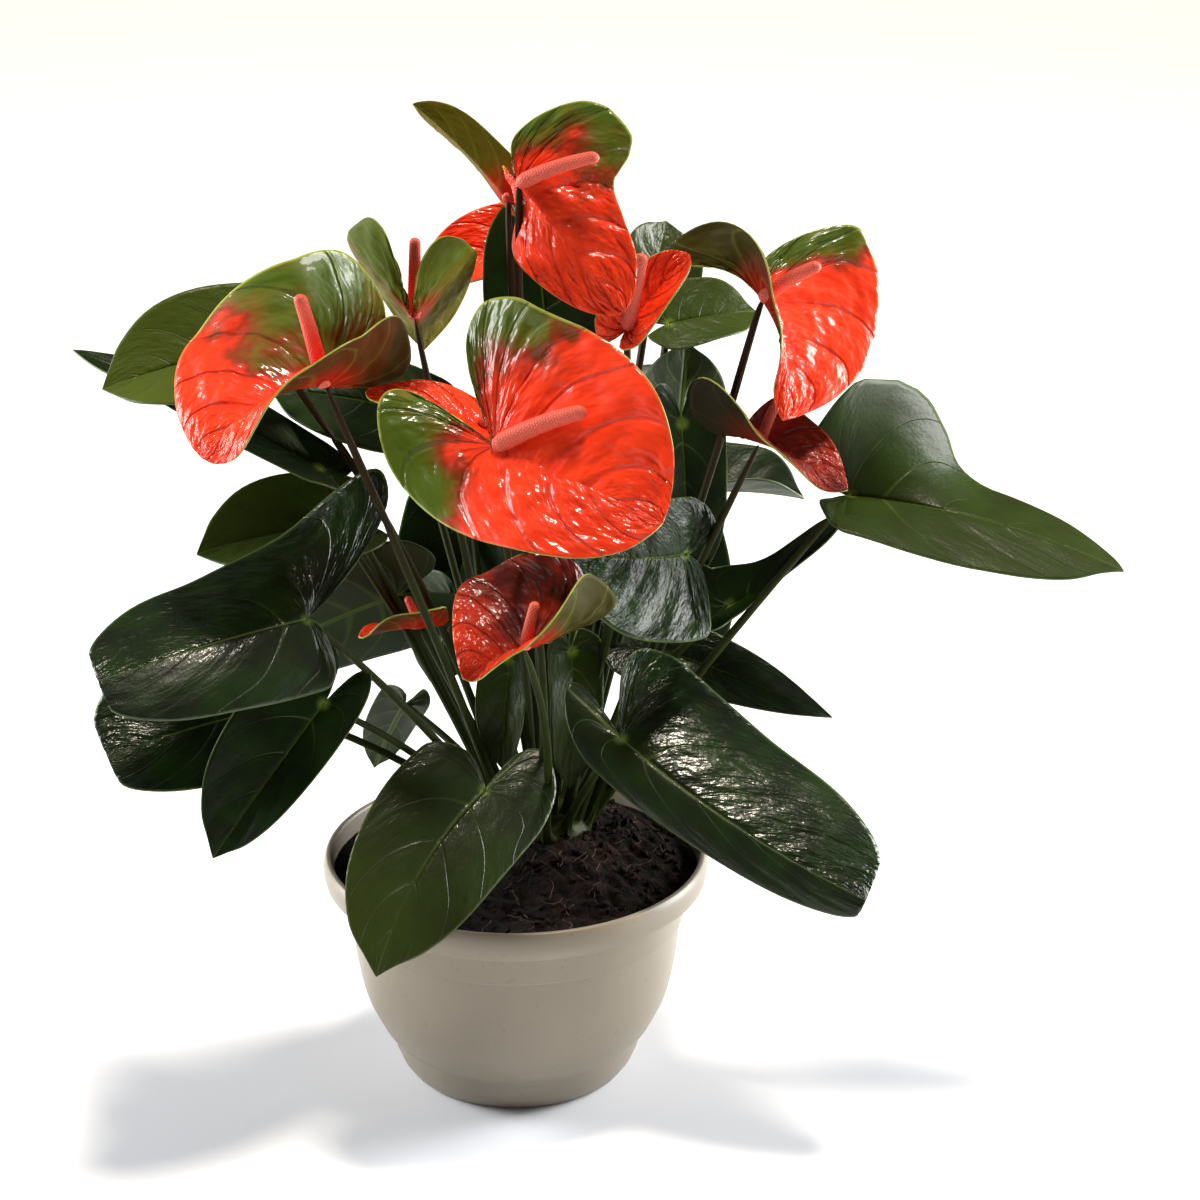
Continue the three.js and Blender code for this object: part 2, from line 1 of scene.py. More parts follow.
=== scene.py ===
"""A flamingo flower in its nursery pot. Metres, Z up, the front of the plant faces -Y."""
import math

import bmesh
import bpy
import numpy as np
from mathutils import Matrix, Quaternion, Vector


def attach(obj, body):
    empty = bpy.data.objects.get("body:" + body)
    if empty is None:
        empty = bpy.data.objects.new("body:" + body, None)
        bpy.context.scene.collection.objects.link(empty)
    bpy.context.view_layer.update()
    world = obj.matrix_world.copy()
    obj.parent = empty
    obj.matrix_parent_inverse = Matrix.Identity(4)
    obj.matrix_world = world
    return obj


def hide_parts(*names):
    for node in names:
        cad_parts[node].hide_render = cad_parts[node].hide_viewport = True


bl_info = {
    "name": "Flamingo flower in a nursery pot",
    "version": (1, 0, 0),
    "blender": (4, 5, 0),
    "location": "3D View > Sidebar > Flamingo flower",
    "description": "Leaves, spathes, spikes, stalks, potting mix and pot of a flamingo flower",
    "category": "Add Mesh",
}

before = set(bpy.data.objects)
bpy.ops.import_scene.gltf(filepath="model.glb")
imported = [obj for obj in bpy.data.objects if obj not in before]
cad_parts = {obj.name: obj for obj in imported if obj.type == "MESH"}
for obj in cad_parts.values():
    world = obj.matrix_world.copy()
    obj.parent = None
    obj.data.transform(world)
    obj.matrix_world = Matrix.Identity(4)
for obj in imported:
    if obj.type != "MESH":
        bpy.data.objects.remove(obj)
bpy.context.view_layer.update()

MM = 0.001

# Outside and inside of the pot wall as [radius, height] in mm, in runs that meet at edges.
# The belly is one smooth curve, and the rest is straight runs.
POT_FOOT = [[0, 0], [50, 0], [52, 1.2], [55.5, 6], [58, 12], [59.3, 17], [60, 19]]
POT_BELLY = [[60, 19], [63.6, 23.5], [68, 32], [71.5, 40], [74, 50], [76, 62], [77.3, 74], [77.6, 79]]
POT_COLLAR = [
    [79.2, 79.8], [79.6, 94.6], [87.6, 96], [89.4, 98.5], [90.2, 103], [89.8, 107.5], [88.6, 110],
    [86.6, 110], [86, 108.5], [85.6, 98.5], [77.2, 96.8], [75.6, 76],
]
POT_INSIDE = [[75.6, 76], [74.2, 62], [72.2, 50], [69.6, 40], [66, 32], [61.6, 24], [57.4, 19.5]]
POT_FLOOR = [[56.4, 16], [53.6, 6], [50, 3], [0, 3]]
POT_TURNS = 144

# Potting mix: its side against the pot, and the mound round the crown
SOIL_SIDE = [
    [0, 3.4], [49.6, 3.4], [53, 6.4], [55.8, 16], [56.8, 19.9], [61, 24.3], [65.4, 32.3],
    [69, 40.2], [71.6, 50.2], [73.6, 62.1], [75, 76], [76.6, 97.2], [85.1, 99],
]
SOIL_TOP = 101
CRUMBS = 260
THREADS = 130
SOIL_MOUND = {"x": 22, "y": 10, "height": 16, "radius": 78}

# Half outlines from the joint round the back lobe to the tip. Negative x counts in lobe
# lengths, positive x in blade lengths, and y in half widths.
OUTLINES = {
    "leaf": [
        [0, 0], [-0.45, 0.08], [-0.88, 0.24], [-1, 0.5], [-0.62, 0.84], [0.02, 1], [0.34, 1],
        [0.62, 0.86], [0.82, 0.56], [0.93, 0.22], [1, 0],
    ],
    "spathe": [
        [0, 0], [-0.5, 0.08], [-0.92, 0.24], [-1, 0.55], [-0.6, 0.88], [0.03, 1], [0.36, 0.97],
        [0.66, 0.8], [0.87, 0.5], [0.97, 0.2], [1, 0],
    ],
    "heart": [
        [0, 0], [-0.5, 0.08], [-0.92, 0.24], [-1, 0.55], [-0.6, 0.9], [0, 1], [0.26, 0.93],
        [0.52, 0.72], [0.76, 0.42], [0.92, 0.16], [1, 0],
    ],
    "hook": [
        [0, 0], [-0.5, 0.08], [-0.92, 0.24], [-1, 0.55], [-0.6, 0.95], [0, 0.7], [0.3, 0.42],
        [0.6, 0.3], [0.82, 0.22], [0.96, 0.1], [1, 0],
    ],
    "blunt": [
        [0, 0], [-0.5, 0.08], [-0.92, 0.24], [-1, 0.55], [-0.6, 0.88], [0.03, 1], [0.4, 1],
        [0.72, 0.9], [0.94, 0.62], [1.02, 0.28], [1, 0],
    ],
    "strap": [
        [0, 0], [-0.5, 0.08], [-0.92, 0.24], [-1, 0.55], [-0.6, 0.95], [0, 0.86], [0.3, 0.64],
        [0.6, 0.54], [0.82, 0.42], [0.96, 0.2], [1, 0],
    ],
    "waisted": [
        [0, 0], [-0.6, 0.09], [-1, 0.24], [-1, 0.55], [-0.6, 0.86], [0.1, 1], [0.27, 0.9],
        [0.36, 0.62], [0.55, 0.5], [0.78, 0.38], [0.94, 0.18], [1, 0],
    ],
}

# What a blade has where its own row says nothing. Lengths are in mm, angles in degrees, and
# pairs are left and right as seen from above with the tip pointing away.
BLADE = {
    "bend": 20, "sway": 0, "twist": 0, "fold": [12, 12], "collar": [0, 0], "cup": [10, 10],
    "lift": [10, 10], "flare": [0, 0], "swing": [0, 0], "wave": 1.5, "waves": 3,
    "fine": 1, "veins": 9, "depth": 0.5, "bright": [0, 0], "relief": [0.3, 0.3], "wax": 1,
    "ripe": [0.1, 0.6, 0.1, 0.6], "flush": [0.1, 0.6, 0.1, 0.6], "painted_shade": [0, 0],
    "painted_shade_fade": [1, 2], "fresh": 0,
}

# Each blade runs from its joint to its tip, and face is the way that its upper side looks.
# A leaf's lighter green at its joint and at its tip is partly the paler green of young
# tissue and partly painted glow where light comes through the blade. fine is its share of faces.
# relief is the strength of the fine ripples, depth the height in mm of the swellings between the
# veins, and wax 1 for a waxed leaf and 0 for a young or a matt one.
LEAVES = [
    {"name": "leaf_front_left", "joint": [-13, -35, 156], "tip": [-60, -98, 94],
     "face": [0.15, -0.8, 0.45], "wide": [32, 35], "lobe": [32, 12], "swing": [18, -26],
     "bend": 28, "sway": 30, "fold": [8, 4], "cup": [-10, -14], "fine": 1.5,
     "bright": [0.1, 0.4], "depth": 0.35, "relief": [0.35, 0.35]},
    {"name": "leaf_front_right", "joint": [49, -40, 184], "tip": [157, -90, 128],
     "face": [0.1, -0.75, 0.6], "wide": [50, 19], "lobe": [34, 34], "bend": 18, "sway": 20,
     "fold": [-10, -10], "collar": [10, 20], "cup": [-20, -30], "outline": ["blunt", "blunt"],
     "swing": [-30, 20], "lift": [70, 10], "fine": 1.8, "relief": [1, 0.15]},
    {"name": "leaf_right_mid", "joint": [64, 34, 198], "tip": [147, 2, 176],
     "face": [0.1, -0.7, 0.65], "wide": [18, 22], "lobe": [30, 20],
     "outline": ["heart", "heart"], "relief": [0.9, 0.8]},
    {"name": "leaf_centre_gloss", "joint": [78, -6, 260], "tip": [25, -54, 278],
     "face": [0.2, -1, -0.15], "wide": [40, 26], "lobe": [16, 16], "fold": [24, -10],
     "cup": [40, -20], "fine": 1.5, "relief": [0.75, 0.9], "depth": 1.8, "wax": 0},
    {"name": "leaf_dark_mid", "joint": [77, 42, 306], "tip": [79, 34, 226],
     "face": [0.3, -0.95, 0.1], "wide": [20, 24], "lobe": [20, 20], "wax": 0},
    {"name": "leaf_far_right", "joint": [153, 10, 282], "tip": [275, -15, 255],
     "face": [0.05, -0.3, 0.95], "wide": [54, 36], "lobe": [24, 14], "bend": 16, "sway": -14,
     "fold": [-12, -2], "collar": [95, 20], "cup": [10, -10], "outline": ["waisted", "leaf"],
     "fine": 1.8, "bright": [0.2, 0.3], "wax": 0},
    {"name": "leaf_right_twist", "joint": [100, 22, 224], "tip": [153, 10, 275],
     "face": [-0.3, -0.5, 0.8], "wide": [28, 28], "lobe": [16, 16], "bend": -30,
     "fold": [32, 32], "outline": ["hook", "hook"], "wax": 0},
    {"name": "leaf_right_small", "joint": [92, 65, 265], "tip": [136, 70, 259],
     "face": [0.1, -0.3, 0.95], "wide": [26, 22], "lobe": [14, 14], "fold": [20, 45],
     "relief": [0.1, 0.1], "wax": 0},
    {"name": "leaf_back_right", "joint": [72, 100, 336], "tip": [114, 120, 336],
     "face": [0.1, -0.6, 0.8], "wide": [21, 19], "lobe": [14, 14], "bright": [0.4, 0.5], "wax": 0},
    {"name": "leaf_back_top", "joint": [64, 120, 349], "tip": [71, 140, 375],
     "face": [0.3, -0.7, 0.5], "wide": [20, 22], "lobe": [14, 14], "bright": [0.4, 0.5]},
    {"name": "leaf_olive_up", "joint": [76, 70, 288], "tip": [80, 92, 330],
     "face": [0.2, 0.8, 0.3], "wide": [22, 26], "lobe": [16, 16], "wax": 0},
    {"name": "leaf_top_dark", "joint": [15, 48, 350], "tip": [9, 73, 413],
     "face": [-0.2, -0.9, 0.3], "wide": [27, 32], "lobe": [20, 20], "bend": 16, "wax": 0},
    {"name": "leaf_left_back", "joint": [-48, 50, 309], "tip": [-112, 48, 320],
     "face": [0, -0.5, 0.85], "wide": [38, 24], "lobe": [22, 22], "wax": 0},
    {"name": "leaf_left_upper", "joint": [-110, 20, 350], "tip": [-182, 0, 336],
     "face": [0, -0.5, 0.85], "wide": [36, 32], "lobe": [24, 24], "fold": [10, 20],
     "bright": [0.9, 1], "wax": 0},
    {"name": "leaf_left_long", "joint": [-88, 10, 295], "tip": [-199, 30, 345],
     "face": [0, -0.1, 0.95], "wide": [30, 18], "lobe": [14, 14], "bend": 10, "wax": 0},
    {"name": "leaf_left_mid", "joint": [-80, 10, 268], "tip": [-142, -12, 262],
     "face": [0, -0.5, 0.85], "wide": [28, 28], "lobe": [20, 20], "bright": [0.5, 0.6], "wax": 0},
    {"name": "leaf_left_big", "joint": [-89, -55, 248], "tip": [-176, -95, 235],
     "face": [0, -0.75, 0.65], "wide": [33, 46], "lobe": [6, 74], "bend": 24, "fold": [12, -28],
     "collar": [-12, 50], "cup": [-30, -10], "lift": [10, 50], "swing": [0, -26],
     "outline": ["blunt", "blunt"], "fine": 1.5, "relief": [0.3, 0.9]},
    {"name": "leaf_left_low", "joint": [-110, -22, 191], "tip": [-180, -55, 181],
     "face": [-0.1, -0.6, 0.8], "wide": [31, 42], "lobe": [10, 20], "fold": [-10, 10],
     "outline": ["blunt", "blunt"], "relief": [0.6, 0.8]},
    {"name": "leaf_left_hang", "joint": [-84, -45, 203], "tip": [-133, -75, 141],
     "face": [-0.2, -0.9, 0.2], "wide": [18, 30], "lobe": [24, 24], "relief": [0.1, 0.1],
     "wax": 0},
    {"name": "leaf_pale_under", "joint": [-55, 30, 226], "tip": [-118, 22, 198],
     "face": [0, 0.9, 0.4], "wide": [30, 40], "lobe": [24, 24], "fold": [5, 5], "wax": 0},
    {"name": "leaf_back_low_left", "joint": [-55, 70, 153], "tip": [-72, 90, 111],
     "face": [0, 0.8, 0.5], "wide": [14, 13], "lobe": [12, 12], "wax": 0},
    {"name": "leaf_olive_mid", "joint": [-29, 50, 213], "tip": [-42, 60, 170],
     "face": [0.3, 0.9, 0.3], "wide": [22, 22], "lobe": [14, 14], "wax": 0},
    {"name": "leaf_inner_left", "joint": [-2, 10, 202], "tip": [-5, 0, 150],
     "face": [-0.4, -0.9, 0.2], "wide": [14, 14], "lobe": [8, 8], "fold": [22, 22],
     "bright": [0.1, 0.3], "wax": 0},
    {"name": "leaf_inner_right", "joint": [26, 20, 202], "tip": [25, 10, 136],
     "face": [0.5, -0.8, 0.2], "wide": [15, 16], "lobe": [10, 10], "fold": [14, 14],
     "bright": [0.1, 0.3], "wax": 0},
    {"name": "leaf_behind_right", "joint": [62, 84, 236], "tip": [78, 76, 160],
     "face": [0.1, -0.9, 0.4], "wide": [36, 34], "lobe": [20, 20], "wax": 0},
    {"name": "leaf_behind_left", "joint": [-22, 90, 246], "tip": [-34, 84, 168],
     "face": [-0.2, -0.9, 0.3], "wide": [32, 32], "lobe": [18, 18], "wax": 0},
    {"name": "leaf_behind_mid", "joint": [20, 106, 232], "tip": [24, 104, 150],
     "face": [0, -1, 0.2], "wide": [34, 34], "lobe": [18, 18], "wax": 0},
    {"name": "leaf_rear_left", "joint": [-26, 110, 290], "tip": [-48, 176, 262],
     "face": [0, 0.5, 0.85], "wide": [34, 34], "lobe": [22, 22]},
    {"name": "leaf_rear_mid", "joint": [40, 130, 296], "tip": [52, 196, 262],
     "face": [0, 0.5, 0.85], "wide": [36, 36], "lobe": [22, 22]},
]

# A spathe's row also has the reach and radius of its spadix. ripe is where green takes over
# from red behind the joint, in lobe lengths for each half in turn, and flush the same from the
# midrib outwards. Each half also has painted shade: dark red laid on where the spathe lies in
# shade. It fades out between the two shares of the outline in the pair that follows it, from the
# joint round to the tip. fresh is how lime the underside is.
SPATHES = [
    {"name": "centre", "joint": [-4, -110, 347], "tip": [65, -148, 327],
     "face": [-0.1, -0.8, 0.6], "wide": [60, 39], "lobe": [54, 50], "fold": [6, 6],
     "cup": [20, -10], "lift": [10, 30], "swing": [-33, 19], "wave": 3, "spadix": [38, -14, 20],
     "thick": 4, "fine": 2, "ripe": [-0.5, 0.25, -0.35, 0.5], "flush": [0.3, 1.0, 0.1, 0.85],
     "painted_shade": [0.4, 0.1], "painted_shade_fade": [0.15, 0.6]},
    {"name": "top", "joint": [4, 0, 430], "tip": [50, -25, 379], "face": [0, -0.9, 0.4],
     "wide": [52, 24], "lobe": [18, 12], "fold": [-5, -15], "collar": [0, -80],
     "outline": ["waisted", "spathe"], "spadix": [35, -12, 15], "thick": 3.4, "fine": 1.8,
     "ripe": [-1.9, -0.7, 2, 3], "flush": [0.2, 1.1, 0.9, 1]},
    {"name": "top_back", "joint": [-2, 34, 414], "tip": [-44, 52, 453], "face": [0.5, 0.8, 0.2],
     "wide": [15, 15], "lobe": [10, 10], "fold": [35, 35], "spadix": [2, 19, 6], "thick": 2.4,
     "fresh": 0.8},
    {"name": "small_top", "joint": [52, 15, 360], "tip": [79, 30, 390],
     "face": [-0.3, -0.8, 0.2], "wide": [16, 16], "lobe": [12, 10], "fold": [30, 40],
     "spadix": [6, -10, 37], "thick": 3.8, "ripe": [0.9, 1.6, 0.9, 1.6]},
    {"name": "left", "joint": [-80, -35, 349], "tip": [-131, -65, 326],
     "face": [-0.2, -0.4, 0.8], "wide": [40, 62], "lobe": [38, 44], "bend": 70, "fold": [45, 10],
     "collar": [30, 100], "flare": [-60, 0], "swing": [15, -22], "outline": ["strap", "spathe"],
     "cup": [20, -20], "lift": [10, 40], "spadix": [-9, -10, 44], "thick": 3.6, "fine": 2,
     "ripe": [0.6, 1, -1.1, 0.3], "flush": [0.1, 0.6, -0.1, 0.5]},
    {"name": "left_inner", "joint": [-43, 10, 366], "tip": [-41, 50, 339],
     "face": [0, 0.6, 0.75], "wide": [46, 42], "lobe": [64, 50], "fold": [45, 45],
     "lift": [60, 40], "spadix": [1, 0, 37], "thick": 3, "fine": 1.5, "fresh": 0.8},
    {"name": "back_red", "joint": [6, 84, 381], "tip": [-44, 74, 360], "face": [0, -0.4, 0.9],
     "wide": [20, 22], "lobe": [14, 14], "fold": [10, 30], "spadix": [-8, 8, 14], "thick": 2.4},
    {"name": "right", "joint": [111, 10, 375], "tip": [120, -20, 328], "face": [0.9, -0.2, 0.2],
     "wide": [60, 24], "lobe": [18, 44], "bend": 50, "fold": [36, 10], "collar": [20, 100],
     "flare": [0, -80], "outline": ["heart", "hook"], "cup": [20, -20], "lift": [0, -75],
     "spadix": [25, -12, 19], "thick": 3.4, "fine": 2, "ripe": [-0.5, 0.6, -0.2, 0.5],
     "flush": [0.3, 0.8, 0.0, 0.4], "fresh": 0.1},
    {"name": "dark_right", "joint": [111, 0, 311], "tip": [149, -27, 298],
     "face": [0.3, -0.3, 0.85], "wide": [24, 36], "lobe": [12, 22], "fold": [20, 20],
     "collar": [10, 60], "lift": [10, -50], "flare": [0, -40], "outline": ["heart", "hook"],
     "spadix": [8, 6, 18], "thick": 2.6, "painted_shade": [0.75, 0.9], "ripe": [2, 3, -0.2, 0.4]},
    {"name": "low", "joint": [7, -90, 248], "tip": [-19, -108, 242], "face": [-0.5, -0.2, 0.8],
     "wide": [30, 42], "lobe": [46, 50], "fold": [20, 50], "collar": [60, 30], "flare": [-50, 0],
     "lift": [0, 50], "outline": ["hook", "heart"], "cup": [10, -20], "spadix": [5, 0, 22],
     "thick": 2.6, "fine": 1.5, "fresh": 0.12, "ripe": [-0.2, 0.4, 0.9, 1.6],
     "painted_shade": [0.1, 0.95], "painted_shade_fade": [0.5, 0.85]},
    {"name": "hidden", "joint": [-43, 4, 220], "tip": [-68, -16, 223], "face": [0, 0.6, 0.8],
     "wide": [18, 18], "lobe": [10, 10], "spadix": [-6, 4, 14], "thick": 2.2},
    {"name": "behind", "joint": [-13, -30, 329], "tip": [-63, -25, 343], "face": [0, -0.2, 0.9],
     "wide": [24, 18], "lobe": [20, 16], "fold": [10, 0], "spadix": [14, 4, 12], "thick": 2.4},
]

MIDRIB_STEPS = 60
# Metres, and degrees up from looking straight down
CAMERA_PLACE = (0.0395, -1.4475, 0.8055)
CAMERA_TILT = 68.5
# Rows and columns of one half of a blade, before its own share of faces
LEAF_GRID = (44, 16)
SPATHE_GRID = (64, 20)
# One unit of the flat map is this many mm of blade, and the joint lies at this place on it
FLAT = 200
FLAT_JOINT = (0.34, 0.5)


def linear(hex_colour):
    """An sRGB hex colour as linear red, green and blue."""
    parts = [int(hex_colour[index:index + 2], 16) / 255 for index in (0, 2, 4)]
    return [part / 12.92 if part <= 0.04045 else ((part + 0.055) / 1.055) ** 2.4 for part in parts]


def colour(name, description, hex_colour):
    """A colour that a user may change."""
    return bpy.props.FloatVectorProperty(
        name=name, description=description, default=linear(hex_colour), subtype="COLOR",
        size=3, min=0, max=1)


class FlowerColours(bpy.types.PropertyGroup):
    """Colours of the plant, its pot and the stage."""
    leaf_deep: colour("Leaf, deep", "Full-grown leaf in the shade of its own wax", "0b1604")
    leaf_green: colour("Leaf, green", "Full-grown leaf between its veins", "162a07")
    # partly the green of young tissue, partly painted glow where light comes through the blade
    leaf_young_and_glow: colour("Leaf, young", "Young leaf towards its tip", "47551a")
    leaf_vein: colour("Leaf vein", "Midrib and veins near the joint", "6b8030")
    leaf_under: colour("Leaf underside", "Matt underside of a leaf", "2c3a1a")
    leaf_margin: colour("Leaf margin", "Thin pale edge of a leaf", "46562a")
    spathe_red: colour("Spathe, red", "Spathe between its veins", "fb3d12")
    spathe_deep: colour("Spathe, deep red", "Spathe along its veins", "c01c08")
    spathe_turn: colour("Spathe, turning", "Brownish red where red turns green", "8e2c0c")
    spathe_olive: colour("Spathe, olive", "Olive green next to the turning red", "665a0e")
    spathe_lime: colour("Spathe, lime", "Green of the back lobes", "4c6210")
    spathe_under: colour("Spathe underside", "Matt underside of a spathe", "302f0b")
    # painted shade: the darkest red of a spathe's upper side where it lies in shade
    spathe_painted_shade: colour("Spathe, dark", "Darkest red inside a rolled spathe", "2a0603")
    # painted shade: the darkest underside of a spathe where it lies in shade
    under_painted_shade: colour("Spathe underside, dark", "Darkest part of the underside", "14130a")
    spathe_margin: colour("Spathe margin", "Yellow-green edge of a spathe", "9aa446")
    spadix: colour("Spadix", "Flower spike", "e05f4b")
    # painted shade in the gaps between the florets
    spadix_gap_shade: colour("Spadix, gaps", "Between the florets of the spike", "c4503e")
    stalk_green: colour("Stalk, green", "Stalk near the crown", "26300f")
    stalk_brown: colour("Stalk, brown", "Stalk near its blade", "2e1c0b")
    stalk_dark: colour("Stalk, dark", "Dark streaks along a stalk", "1c160a")
    pot: colour("Pot", "Warm grey of the pot", "877e6f")
    soil_dark: colour("Potting mix, dark", "Damp peat", "080402")
    soil_red: colour("Potting mix, red-brown", "Dry peat", "200f08")
    fibre: colour("Fibre", "Coir in the potting mix", "3c1d0f")
    floor: colour("Floor", "Pale studio floor", "f0f3f9")


class FlowerSizes(bpy.types.PropertyGroup):
    """Sizes of the plant and the camera."""
    leaf_thickness: bpy.props.FloatProperty(
        name="Leaf thickness", description="Thickness of a leaf blade", default=0.0008,
        min=0.0003, max=0.002, subtype="DISTANCE", unit="LENGTH")
    spathe_thickness: bpy.props.FloatProperty(
        name="Spathe thickness", description="Thickness of a spathe", default=0.0008,
        min=0.0003, max=0.002, subtype="DISTANCE", unit="LENGTH")
    floret: bpy.props.FloatProperty(
        name="Floret", description="Spacing of the florets on a spike", default=0.0015,
        min=0.001, max=0.004, subtype="DISTANCE", unit="LENGTH")
    floor_size: bpy.props.FloatProperty(
        name="Floor", description="Width of the studio floor", default=120,
        min=2, max=200, subtype="DISTANCE", unit="LENGTH")
    focal: bpy.props.FloatProperty(
        name="Lens", description="Focal length of the camera in mm", default=102.4,
        min=20, max=300)


def smoothstep(values, low=0.0, high=1.0):
    """0 up to low, 1 from high, and smooth between."""
    share = np.clip((values - low) / (high - low), 0, 1)
    return share * share * (3 - 2 * share)


def spline(points, shares):
    """A smooth curve through the points at shares of its way, as in the part's source."""
    points = np.array(points, float)
    place = np.clip(shares, 0, 1) * (len(points) - 1)
    start = np.minimum(place.astype(int), len(points) - 2)
    rest = (place - start)[:, None]
    before = points[np.maximum(start - 1, 0)]
    near = points[start]
    far = points[start + 1]
    after = points[np.minimum(start + 2, len(points) - 1)]
    leave = (far - before) / 2
    arrive = (after - near) / 2
    cubic = 2 * near - 2 * far + leave + arrive
    square = 3 * far - 3 * near - 2 * leave - arrive
    return ((cubic * rest + square) * rest + leave) * rest + near


def waves(seed, points, length):
    """Smooth unevenness from -1 to 1 of about that wavelength, the same on every run."""
    random = np.random.default_rng(seed)
    points = np.atleast_2d(points)
    total = np.zeros(len(points))
    for _ in range(7):
        way = random.normal(size=points.shape[1])
        way *= random.uniform(0.7, 1.5) * 2 * math.pi / (length * np.linalg.norm(way))
        total += np.sin(points @ way + random.uniform(0, 2 * math.pi))
    return total / 4


def axes(chord, face):
    """Axes with the first along the chord and the last as near to the face as it can be."""
    along = chord.normalized()
    up = (face - along * face.dot(along)).normalized()
    side = up.cross(along)
    return Matrix((along, side, up)).transposed()


def midrib(blade):
    """Places and axes along a midrib as rows of 12 numbers, and the midrib's length."""
    along, side, up = Vector((1, 0, 0)), Vector((0, 1, 0)), Vector((0, 0, 1))
    place = Vector((0, 0, 0))
    rows = [(place.copy(), along.copy(), side.copy(), up.copy())]
    turns = [math.radians(blade[key]) / MIDRIB_STEPS for key in ("bend", "sway", "twist")]
    for _ in range(MIDRIB_STEPS):
        before = along.copy()
        for axis, angle in zip((side, up, along), turns):
            turn = Quaternion(axis, angle)
            for arm in (along, side, up):
                arm.rotate(turn)
        place += (before + along).normalized() / MIDRIB_STEPS
        rows.append((place.copy(), along.copy(), side.copy(), up.copy()))
    joint = Vector(blade["joint"])
    chord = Vector(blade["tip"]) - joint
    length = chord.length / place.length
    turn = axes(chord, Vector(blade["face"])) @ axes(place, Vector((0, 0, 1))).transposed()
    placed = [
        [*(turn @ spot * length + joint), *(turn @ a), *(turn @ b), *(turn @ c)]
        for spot, a, b, c in rows
    ]
    return np.array(placed), length


def along_midrib(blade, spine, length, distance, half):
    """Place, side and up at distances from the joint, behind it along a lifted lobe."""
    share = np.clip(distance / length, 0, 1) * MIDRIB_STEPS
    steps = np.arange(MIDRIB_STEPS + 1)
    row = np.stack([np.interp(share, steps, spine[:, column]) for column in range(12)], axis=1)
    place, side, up = row[:, 0:3], row[:, 6:9], row[:, 9:12]
    first = spine[0]
    lift = math.radians(blade["lift"][half] or 1e-4)
    turn = lift * -distance / blade["lobe"][half]
    radius = blade["lobe"][half] / lift
    back = (-radius * np.sin(turn))[:, None] * first[3:6]
    rise = (radius * (1 - np.cos(turn)))[:, None] * first[9:12]
    raised = np.cos(turn)[:, None] * first[9:12] + np.sin(turn)[:, None] * first[3:6]
    behind = (distance < 0)[:, None]
    place = np.where(behind, first[0:3] + back + rise, place)
    side = np.where(behind, first[6:9], side)
    up = np.where(behind, raised, up)
    return place, side, up


def blade_half(blade, half, around, across, quilt):
    """Points of one half of a blade in mm, with its vein phase and its flat place."""
    spine, length = blade["spine"]
    edge = spline(OUTLINES[blade["outline"][half]], around)
    edge_x = edge[:, 0] * np.where(edge[:, 0] < 0, blade["lobe"][half], length)
    root = np.maximum(0, 2 * around - 1) * length
    x = root + (edge_x - root) * across
    y = edge[:, 1] * blade["wide"][half] * across
    angle = np.arctan2(y, x)
    angle = angle + math.radians(blade["swing"][half]) * smoothstep(angle, 1, math.pi)
    x, y = np.hypot(x, y) * np.cos(angle), np.hypot(x, y) * np.sin(angle)
    place, side, up = along_midrib(blade, spine, length, x, half)
    reach = 0.5 * length
    towards_lobe = smoothstep((reach - x) / (reach + blade["lobe"][half]))
    towards_tip = smoothstep(x / length, 0.3, 1)
    fold = np.radians(
        blade["fold"][half] + blade["collar"][half] * towards_lobe
        + blade["flare"][half] * towards_tip)
    curl = math.radians(blade["cup"][half]) / blade["wide"][half]
    lean = fold + curl * y
    out = (np.sin(lean) - np.sin(fold)) / curl
    bowed = (np.cos(fold) - np.cos(lean)) / curl
    swell = np.sin(2 * math.pi * blade["waves"] * around + 2 * half)
    fade = across * across * np.minimum(1, 5 * around) * (1 - around ** 4)
    outward = side if half == 0 else -side
    normal = up * np.cos(lean)[:, None] - outward * np.sin(lean)[:, None]
    flat = np.stack([x, y if half == 0 else -y], axis=1)
    phase = around - 0.1 * across ** 2 + 0.006 * waves(blade["seed"] + half, flat, 40)
    rise = bowed + blade["wave"] * swell * fade
    points = place + outward * out[:, None] + up * rise[:, None]
    points = points + normal * quilt(blade, phase, around, across, flat)[:, None]
    return points, phase, flat, x / length


def leaf_quilt(blade, phase, around, across, flat):
    """Leaf relief in mm: sunken veins with soft swellings between them."""
    swelling = np.abs(np.sin(math.pi * blade["veins"] * phase)) ** 0.7 - 0.6
    calm = smoothstep(across, 0, 0.25) * (1 - smoothstep(across, 0.86, 1)) * (1 - around ** 8)
    rib = -0.5 * (1 - smoothstep(across, 0, 0.07)) * smoothstep(around, 0.4, 0.6)
    ripple = 0.25 * waves(blade["seed"] + 7, flat, 11) * across * (1 - across ** 6)
    return blade["depth"] * swelling * calm + rib * (1 - around ** 6) + ripple


def spathe_quilt(blade, phase, around, across, flat):
    """Spathe relief in mm: deep grooves from the joint and blisters between them."""
    size = min(1, blade["wide"][0] / 40)
    swelling = np.abs(np.sin(math.pi * blade["veins"] * phase)) ** 0.6 - 0.6
    rays = np.stack([phase * 110, across * 18], axis=1)
    blister = 1 - 2 * np.abs(waves(blade["seed"] + 3, rays, 6))
    soft = waves(blade["seed"] + 5, flat, 18)
    calm = smoothstep(across, 0.05, 0.4) * (1 - smoothstep(across, 0.9, 1)) * (1 - around ** 10)
    return size * calm * (0.8 * swelling + 0.6 * blister + 0.7 * soft)


